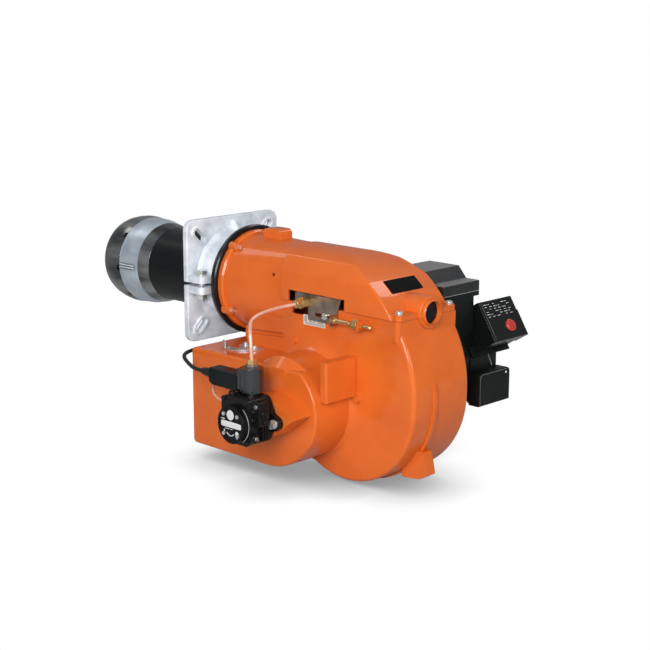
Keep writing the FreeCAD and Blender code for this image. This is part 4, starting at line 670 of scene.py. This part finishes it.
@dataclass
class SolenoidCable:
    """The black cable from the coil's plug to the gland on the electric housing."""

    diameter: float = 0.0066
    length: float = 0.565
    order: int = 3
    steps: int = 8
    roundness: int = 5
    route: list[Triple] = field(default_factory=lambda: [
        (0.168, -0.208, -0.1125), (0.141, -0.205, -0.1145), (0.111, -0.193, -0.1135),
        (0.0687, -0.172, -0.1095), (0.0547, -0.142, -0.1075), (0.0587, -0.096, -0.1065),
        (0.0617, -0.052, -0.1055), (0.0647, -0.016, -0.1045), (0.0847, 0.026, -0.1025),
        (0.1227, 0.058, -0.0985), (0.1687, 0.078, -0.0865), (0.2187, 0.085, -0.0625),
        (0.2687, 0.090, -0.0465), (0.314, 0.092, -0.0425)])

    def curve(self) -> bpy.types.Curve:
        """Makes one open NURBS spline through the route, with a round section.

        Returns:
            The curve.
        """
        curve = bpy.data.curves.new("cable_line", "CURVE")
        curve.dimensions = "3D"
        spline = curve.splines.new("NURBS")
        spline.points.add(len(self.route) - 1)
        spline.points.foreach_set("co", np.array([(*p, 1.0) for p in self.route], np.float32).ravel())
        spline.order_u = self.order
        spline.use_endpoint_u = True
        spline.resolution_u = self.steps
        curve.bevel_depth = self.diameter / 2
        curve.bevel_resolution = self.roundness
        curve.use_fill_caps = True
        curve.materials.append(MATERIALS["black_rubber"])
        return curve

    def build(self) -> None:
        piece = bpy.data.objects.new("cable_line", self.curve())
        bpy.context.scene.collection.objects.link(piece)
        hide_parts("solenoid_cable")
        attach(piece, Body.BURNER.value)
        LOG.info("made cable_line in black_rubber")


@dataclass(frozen=True)
class Panel:
    """A flat place for printed marks: a corner, a direction along the rows and a direction down them."""

    corner: Triple
    along: Triple
    down: Triple
    bar_sink: float = -0.05
    bar_rise: float = 0.10
    bar_slope: float = 0.12

    def axes(self) -> tuple[np.ndarray, np.ndarray, np.ndarray]:
        """The directions along, down and out, where out is the cross product of down and along."""
        return np.array(self.along), np.array(self.down), np.cross(self.down, self.along)

    def bars(self, table: np.ndarray) -> Shape:
        """Thin raised bars with sloping sides.

        A corner is the bar's centre plus or minus half its length and half its height, and the bar is
        narrower at its top than at its foot.

        Args:
            table: N by 4: centre along, centre down, length and height, in millimetres.

        Returns:
            Vertices in metres and quads.
        """
        signs = np.array([(-1, -1), (1, -1), (1, 1), (-1, 1)]) / 2.0
        along, down, face = self.axes()
        rims = []
        for shrink, lift in ((0.0, self.bar_sink), (self.bar_slope, self.bar_rise)):
            u = table[:, 0, None] + signs[None, :, 0] * (table[:, 2, None] - shrink)
            v = table[:, 1, None] + signs[None, :, 1] * (table[:, 3, None] - shrink)
            rims.append(np.array(self.corner) + u[..., None] * along + v[..., None] * down + face * lift)
        vertices = np.concatenate(rims, axis=1)
        sides = [(k, (k + 1) % 4, (k + 1) % 4 + 4, k + 4) for k in range(4)]
        pattern = np.array([(4, 5, 6, 7)] + sides)
        quads = pattern[None] + 8 * np.arange(len(table))[:, None, None]
        return vertices.reshape(-1, 3) * MM, quads.reshape(-1, 4)

    def pad(self, centre: Pair, half: Pair, rise: float, power: float) -> Shape:
        """A low pad with a rounded rim, from an ellipse to a rounded rectangle.

        The rim lies at the half sizes times the cosine and the sine of the turn, each raised to the power
        with its sign kept, and the rings inside it are the rim made smaller.

        Args:
            centre: its place along and down, in millimetres.
            half: its half sizes.
            rise: its height.
            power: 1 for an ellipse, and towards 0 for a rectangle.

        Returns:
            Vertices in metres and quads.
        """
        ring = np.array([0.02, 0.5, 0.85, 0.94, 1.0, 1.0])
        height = np.array([1.0, 1.0, 1.0, 0.8, 0.3, -0.2]) * rise
        turn = np.linspace(0, 2 * math.pi, 48, endpoint=False)
        u = half[0] * np.sign(np.cos(turn)) * np.abs(np.cos(turn)) ** power
        v = half[1] * np.sign(np.sin(turn)) * np.abs(np.sin(turn)) ** power
        along, down, face = self.axes()
        place = (np.array(self.corner) + (centre[0] + ring[:, None, None] * u[None, :, None]) * along
                 + (centre[1] + ring[:, None, None] * v[None, :, None]) * down + height[:, None, None] * face)
        return place.reshape(-1, 3) * MM, grid_quads(len(ring), len(turn), False, True)


# Strokes of a plain seven-stroke figure: centre along, centre down, length and height in a 1 by 2 cell
STROKES = np.array([
    (0.5, 0.0, 1.0, 0.24), (1.0, 0.5, 0.24, 1.0), (1.0, 1.5, 0.24, 1.0), (0.5, 2.0, 1.0, 0.24),
    (0.0, 1.5, 0.24, 1.0), (0.0, 0.5, 0.24, 1.0), (0.5, 1.0, 1.0, 0.24)])
FIGURES = {0: (0, 1, 2, 3, 4, 5), 1: (1, 2), 2: (0, 1, 6, 4, 3), 3: (0, 1, 6, 2, 3), 4: (5, 6, 1, 2),
           5: (0, 5, 6, 2, 3), 6: (0, 5, 6, 4, 2, 3)}


@dataclass
class PrintedMarks:
    """Plain marks on the control box, the pump's cover and the head scale, with no words; in millimetres."""

    control_corner: Triple = (443.0, 158.0, -12.0)
    control_tilt: float = 32.0
    control_rows: int = 6
    control_columns: int = 6
    control_first: Pair = (10.0, 7.0)
    control_pitch: Pair = (11.5, 4.4)
    control_longest: float = 9.0
    control_shorter: float = 1.8
    control_shift: float = 1.5
    pump_face: float = -253.8
    arc_centre: Pair = (PUMP_X - 1.0, PUMP_Z - 8.0)
    arc_radius: float = 10.0
    arc_thick: float = 0.8
    scale_corner: Triple = (257.0, -67.8, -25.0)
    figure_pitch: float = 6.2
    tick_pitch: float = 2.6
    ticks: int = 17

    def control_lines(self) -> None:
        """Short bars in rows on the sloping face of the control box, with every fifth one left out."""
        turn = math.radians(self.control_tilt)
        panel = Panel(self.control_corner, (0.0, 1.0, 0.0), (math.sin(turn), 0.0, -math.cos(turn)))
        rows = np.arange(self.control_rows)
        columns = np.arange(self.control_columns)
        row, column = np.meshgrid(rows, columns, indexing="ij")
        length = self.control_longest - self.control_shorter * ((2 * row + 3 * column) % 4)
        start = self.control_first[0] + self.control_pitch[0] * column + self.control_shift * (row % 2)
        down = self.control_first[1] + self.control_pitch[1] * row
        table = np.stack([start + length / 2, down, length, np.full(row.shape, 1.0)], axis=-1)
        table = table[(3 * row + 2 * column) % 5 != 1]
        fix_to_burner("control_marks", panel.bars(table.reshape(-1, 4)), "white_print")
        # Painted highlight along an edge of the control box's face
        edge = np.array([(6.0, 36.0, 1.0, 66.0)])
        fix_to_burner("control_edge_highlight", panel.bars(edge), "grey_highlight_and_groove")

    def pump_label(self) -> None:
        """A blank pale plate, discs, a few plain bars and an arc on the pump's cover."""
        panel = Panel((PUMP_X, self.pump_face, PUMP_Z), (1.0, 0.0, 0.0), (0.0, 0.0, -1.0))
        fix_to_burner("pump_plate", panel.pad((0.0, 0.0), (23.5, 4.8), 0.5, 0.25), "white_print")
        fix_to_burner("pump_disc", panel.pad((-1.5, -15.5), (8.2, 8.2), 0.6, 1.0), "white_print")
        fix_to_burner("pump_dot", panel.pad((13.5, 12.5), (4.0, 4.0), 0.5, 1.0), "white_print")
        bars = np.array([(-19.0, -7.5, 9.0, 1.8), (-16.0, 12.5, 2.2, 6.0), (14.0, 19.5, 1.6, 4.5),
                         (-9.0, 7.4, 11.0, 1.0), (1.0, 7.4, 6.0, 1.0)])
        fix_to_burner("pump_bars", panel.bars(bars), "white_print")
        turn = np.radians(np.linspace(215, 325, 16))
        path = np.stack([self.arc_centre[0] + self.arc_radius * np.cos(turn),
                         np.full(len(turn), self.pump_face),
                         self.arc_centre[1] + self.arc_radius * np.sin(turn)], axis=1)
        arc = sweep(path * MM, np.full(len(turn), self.arc_thick * MM), 10)
        fix_to_burner("pump_arc", arc, "white_print")

    def scale_figures(self) -> None:
        """Ticks and the figures 0 to 6 on the head scale."""
        panel = Panel(self.scale_corner, (1.0, 0.0, 0.0), (0.0, 0.0, -1.0))
        cells = [STROKES[list(strokes)] * (3.2, 3.6, 4.6, 4.4)
                 + (3.6 + self.figure_pitch * figure, 3.0, 0.0, 0.0)
                 for figure, strokes in FIGURES.items()]
        ticks = np.array([(4.7 + self.tick_pitch * k, 13.8, 0.9, 4.0 if k % 2 == 0 else 2.2)
                          for k in range(self.ticks)])
        fix_to_burner("scale_figures", panel.bars(np.concatenate(cells + [ticks])), "scale_print")

    def build(self) -> None:
        """Makes all the marks."""
        self.control_lines()
        self.pump_label()
        self.scale_figures()


@dataclass
class HeadSeam:
    """The double weld seam along the head's steel band, and a black sleeve inside the head, painted shade
    behind the nose's notches.
    """

    radius: float = 0.0822
    front: float = -0.2190
    rear: float = -0.1742
    spread: float = 0.0024
    bead: float = 0.0013
    ripple: float = 0.00012
    ripple_rate: float = 2600.0
    groove: float = 0.0008
    fade: float = 0.003
    samples: int = 90
    shade_sleeve_ends: Pair = (-0.234, -0.210)
    shade_sleeve_radii: Pair = (0.0780, 0.0792)

    def beads(self) -> None:
        """Two rippled beads on the pump side, with dark grooves between and beside them.

        The bead's radius is its mean plus a small sine of the place along it, and all the lines thin out
        towards their ends.
        """
        along = np.linspace(self.front, self.rear, self.samples)
        ends = np.clip(np.minimum(along - self.front, self.rear - along) / self.fade, 0.15, 1.0)
        swell = self.bead + self.ripple * np.sin(along * self.ripple_rate)
        groove = np.full(self.samples, self.groove)
        lines = (("seam_low", -1.0, swell, "weld_bead"), ("seam_high", 1.0, swell, "weld_bead"),
                 ("seam_gap", 0.0, groove, "grey_highlight_and_groove"), ("seam_foot", -2.0, groove, "grey_highlight_and_groove"),
                 ("seam_head", 2.0, groove, "grey_highlight_and_groove"))
        for name, place, radii, slot in lines:
            height = place * self.spread
            depth = math.sqrt(self.radius ** 2 - height ** 2)
            path = np.stack([along, np.full(self.samples, -depth), np.full(self.samples, height)], axis=1)
            fix_to_burner(name, sweep(path, radii * ends, 12), slot)

    def build(self) -> None:
        """Makes the seam and the painted-shade sleeve."""
        self.beads()
        # Black sleeve inside the head: painted shade that shows through the nose's notches
        front, rear = self.shade_sleeve_ends
        inner, outer = self.shade_sleeve_radii
        profile = np.array([(front, inner), (rear, inner), (rear, outer), (front, outer)])
        fix_to_burner("head_shade_sleeve", lathe(profile, Axis.X, (0.0, 0.0, 0.0)), "ring_black")


@dataclass
class PlugTrim:
    """A light grey rim line, which is a painted edge highlight, and the small pilot dot on the plug block, in
    millimetres.
    """

    front: float = 460.0
    low: float = -186.0
    high: float = -133.0
    near: float = 148.5
    far: float = 226.5
    corner: float = 7.0
    sink: float = 0.4
    thick: float = 0.8
    dot: Pair = (69.0, 6.0)
    dot_half: float = 2.0

    def build(self) -> None:
        """Makes the rim line as a thin grey bead, a painted edge highlight, up the near side and over the
        top, and the dot.
        """
        turn = np.linspace(math.pi, math.pi / 2, 12)
        arc = np.stack([self.near + self.corner * (1 + np.cos(turn)),
                        self.high - self.corner + self.corner * np.sin(turn)], axis=1)
        line = np.concatenate([[(self.near, self.low)], arc, [(self.far - self.corner, self.high)]])
        # Grey bead: a painted edge highlight along the plug's rim
        path = np.column_stack([np.full(len(line), self.front - self.sink), line]) * MM
        fix_to_burner("plug_rim_highlight", sweep(path, np.full(len(path), self.thick * MM), 10), "grey_highlight_and_groove")
        panel = Panel((self.front, self.near, self.high), (0.0, 1.0, 0.0), (0.0, 0.0, -1.0))
        dot = panel.pad(self.dot, (self.dot_half, self.dot_half), self.thick, 1.0)
        fix_to_burner("plug_dot", dot, "white_print")


@dataclass
class ElectricTrim:
    """Seam line, light grey neck line and skirt of the electric housing, in millimetres."""

    face: float = 437.0
    line_rise: float = 0.2
    skirt_back: float = 421.0
    skirt_front: float = 436.4
    skirt_rounding: float = 2.0
    skirt: list[Pair] = field(default_factory=lambda: [
        (84.0, -60.0), (156.0, -60.0), (156.0, -182.0), (142.0, -182.0), (124.0, -150.0)])
    seam: list[Pair] = field(default_factory=lambda: [(76.0, 7.2), (110.0, 7.2), (167.0, 7.2)])
    neck: list[Pair] = field(default_factory=lambda: [
        (187.0, -96.0), (193.5, -103.8), (203.0, -120.0), (207.0, -129.0)])

    def line(self, name: str, corners: list[Pair], radius: float) -> None:
        """A thin bead over the housing's +X face.

        Args:
            name: the piece's name.
            corners: the places (y, z) that it goes through.
            radius: the bead's radius.
        """
        path = np.array([(self.face + self.line_rise, *corner) for corner in corners]) * MM
        fix_to_burner(name, sweep(path, np.full(len(path), radius * MM), 10), "seam_and_highlight_line")

    def build(self) -> None:
        """Makes the skirt and the lines."""
        skirt = slab(np.array(self.skirt), self.skirt_back, self.skirt_front, self.skirt_rounding)
        fix_to_burner("housing_skirt", skirt, "black_plastic")
        self.line("cover_seam", self.seam, 0.5)
        self.line("neck_line", self.neck, 0.7)


@dataclass(frozen=True)
class Boss:
    """One turned boss: its axis, the centre of its seat in millimetres, radius, height and finish."""

    axis: Axis
    seat: Triple
    radius: float
    height: float
    slot: str

    def shape(self) -> Shape:
        """A profile with an eased rim and a dished end, turned about the axis and pointing off the pump.

        Returns:
            Vertices in metres and quads.
        """
        # Height and radius, each as a share of the boss's own
        steps = np.array([(-0.5, 1.0), (0.72, 1.0), (0.92, 0.93), (1.0, 0.78), (1.0, 0.45), (0.86, 0.30),
                          (0.84, 0.02)])
        sign = -1.0 if self.axis is Axis.Y else 1.0
        profile = np.stack([sign * steps[:, 0] * self.height, steps[:, 1] * self.radius], axis=1) * MM
        return lathe(profile, self.axis, tuple(np.array(self.seat) * MM), 40, False)


@dataclass
class PumpDressing:
    """Bosses, plugs and a painted rim highlight on the fuel pump's casting, in millimetres."""

    bosses: list[Boss] = field(default_factory=lambda: [
        Boss(Axis.X, (325.5, -222.0, -152.0), 7.0, 4.0, "pump_black"),
        Boss(Axis.X, (325.5, -222.0, -152.0), 4.2, 6.5, "pump_cover_black"),
        Boss(Axis.X, (325.5, -221.0, -165.0), 4.0, 4.5, "pump_black"),
        Boss(Axis.X, (315.5, -236.0, -190.0), 7.5, 7.0, "pump_black"),
        Boss(Axis.X, (315.5, -236.0, -190.0), 4.0, 9.0, "burnt_steel"),
        Boss(Axis.X, (315.5, -238.5, -160.0), 3.8, 4.0, "pump_black"),
        Boss(Axis.X, (315.5, -238.0, -146.0), 4.2, 5.0, "pump_black"),
        Boss(Axis.Z, (263.0, -232.0, -128.5), 6.0, 4.5, "pump_black"),
        Boss(Axis.Z, (263.0, -232.0, -128.5), 3.6, 6.5, "pump_cover_black"),
        Boss(Axis.Z, (306.0, -232.0, -128.5), 5.5, 4.0, "pump_black"),
        Boss(Axis.Y, (256.5, -243.8, -133.5), 4.0, 3.5, "pump_black"),
        Boss(Axis.Y, (309.0, -243.8, -134.0), 4.5, 4.0, "pump_black"),
        Boss(Axis.Y, (309.5, -243.8, -198.5), 4.5, 4.0, "pump_black"),
        Boss(Axis.Y, (320.0, -234.0, -139.0), 4.0, 3.0, "burnt_steel")])
    rim_radius: float = 31.6
    rim_place: float = -244.6
    rim_thick: float = 0.6
    rim_turn: Pair = (-60.0, 55.0)
    rim_samples: int = 40

    def rim_highlight(self) -> None:
        """A painted highlight along the cover's rim: a light grey arc about the pump's axis."""
        turn = np.radians(np.linspace(*self.rim_turn, self.rim_samples))
        path = np.stack([PUMP_X + self.rim_radius * np.cos(turn), np.full(self.rim_samples, self.rim_place),
                         PUMP_Z + self.rim_radius * np.sin(turn)], axis=1)
        line = sweep(path * MM, np.full(self.rim_samples, self.rim_thick * MM), 8)
        # Painted highlight along the lit rim of the pump's cover
        fix_to_burner("pump_rim_highlight", line, "seam_and_highlight_line")

    def build(self) -> None:
        """Makes the bosses and the painted rim highlight."""
        for index, boss in enumerate(self.bosses):
            fix_to_burner(f"pump_boss_{index}", boss.shape(), boss.slot)
        self.rim_highlight()


@dataclass(frozen=True)
class SoftBox:
    """One square lamp: its place, the point it faces, its side in metres and its power in watts."""

    name: str
    place: Triple
    target: Triple
    size: float
    power: float
    mirrored: bool = True

    def build(self) -> None:
        """Adds the lamp. The camera doesn't see it, and glossy surfaces do only if it is mirrored."""
        data = bpy.data.lights.new(self.name, "AREA")
        data.size = self.size
        data.energy = self.power
        lamp = bpy.data.objects.new(self.name, data)
        bpy.context.scene.collection.objects.link(lamp)
        lamp.location = self.place
        lamp.rotation_mode = "QUATERNION"
        lamp.rotation_quaternion = (Vector(self.target) - Vector(self.place)).to_track_quat("-Z", "Y")
        lamp.visible_camera = False
        lamp.visible_glossy = self.mirrored


@dataclass
class Studio:
    """Floor, lights, world and camera."""

    floor_z: float
    floor_half: float = 30.0
    floor_grey: float = 0.50
    shadow_reach: float = 0.11
    shadow_span: Pair = (0.10, 0.92)
    shadow_dark: float = 0.30
    shadow_samples: int = 24
    room_colour: Triple = (0.92, 0.95, 1.0)
    room_strength: float = 0.26
    lamps: tuple[SoftBox, ...] = (
        SoftBox("key", (1.6, -2.2, 1.0), (0.25, 0.0, -0.08), 1.3, 65.0),
        SoftBox("side", (3.0, -0.3, 0.9), (0.25, 0.0, -0.1), 0.9, 18.0),
        SoftBox("back fill", (-1.3, 2.6, 1.1), (0.2, 0.0, -0.05), 1.4, 26.0, False),
        SoftBox("edge left", (-1.5, -0.5, 1.7), (0.2, 0.0, 0.0), 0.6, 2.5),
        SoftBox("edge back", (0.6, 1.5, 1.8), (0.3, 0.0, 0.0), 0.6, 5.0))

    def floor_material(self) -> bpy.types.Material:
        """White with a painted contact shadow close under the object, for the camera, and plain grey for
        every other ray.

        Returns:
            The material.
        """
        material = bpy.data.materials.new("studio floor")
        material.use_nodes = True
        tree = material.node_tree
        tree.nodes.remove(tree.nodes["Principled BSDF"])
        graph = Graph(tree)
        # Painted shadow: the camera sees an emission that occlusion darkens near the object
        near = graph.add("ShaderNodeAmbientOcclusion", {"samples": self.shadow_samples},
                         Distance=self.shadow_reach)
        shade = graph.remap(near.outputs["AO"], self.shadow_span, self.shadow_dark, 1.0)
        seen = graph.add("ShaderNodeEmission", Color=WHITE, Strength=shade)
        diffuse = graph.add("ShaderNodeBsdfDiffuse", Color=(*[self.floor_grey] * 3, 1.0))
        graph.by_ray(diffuse.outputs[0], seen.outputs[0], tree.nodes["Material Output"].inputs["Surface"])
        return material

    def floor(self) -> None:
        """Pale floor under the object, as one wide square."""
        half = self.floor_half
        signs = ((-1, -1), (1, -1), (1, 1), (-1, 1))
        corners = [(half * x, half * y, self.floor_z) for x, y in signs]
        mesh = bpy.data.meshes.new("floor")
        mesh.from_pydata(corners, [], [(0, 1, 2, 3)])
        mesh.materials.append(self.floor_material())
        piece = bpy.data.objects.new("floor", mesh)
        bpy.context.scene.collection.objects.link(piece)

    def world(self) -> None:
        """White to the camera, and a soft grey room to light and reflections."""
        world = bpy.data.worlds.new("studio")
        bpy.context.scene.world = world
        world.use_nodes = True
        tree = world.node_tree
        graph = Graph(tree)
        room = tree.nodes["Background"]
        room.inputs["Color"].default_value = (*self.room_colour, 1.0)
        room.inputs["Strength"].default_value = self.room_strength
        white = graph.add("ShaderNodeBackground", Color=WHITE, Strength=1.0)
        graph.by_ray(room.outputs[0], white.outputs[0], tree.nodes["World Output"].inputs["Surface"])

    def camera(self) -> None:
        """Camera with the photograph's place and lens."""
        data = bpy.data.cameras.new("camera")
        data.lens = CAMERA_LENS
        data.sensor_width = SENSOR_WIDTH
        data.clip_end = VIEW_DEPTH
        camera = bpy.data.objects.new("camera", data)
        bpy.context.scene.collection.objects.link(camera)
        turn = Matrix((CAMERA_RIGHT, CAMERA_UP, CAMERA_BACK)).transposed()
        camera.matrix_world = Matrix.Translation(CAMERA_PLACE) @ turn.to_4x4()
        bpy.context.scene.camera = camera

    def build(self) -> None:
        """Sets up the whole stage."""
        self.floor()
        self.world()
        for lamp in self.lamps:
            lamp.build()
        self.camera()


def main() -> None:
    """Dresses the CAD nodes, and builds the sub-assemblies and the stage in order."""
    for entry in frame["record"]["subparts"]:
        dress_cad_node(entry["node"], entry["material_slot"])
    stage = Studio(floor_z=cad_bounds[0][2])
    for assembly in (OilPipe(), SolenoidCable(), PrintedMarks(), HeadSeam(), PlugTrim(), ElectricTrim(),
                     PumpDressing(), stage):
        LOG.info("building %s", type(assembly).__name__)
        assembly.build()
    bpy.context.scene.view_settings.view_transform = "Standard"


if __name__ == "__main__":
    logging.basicConfig(level=logging.INFO)
    main()
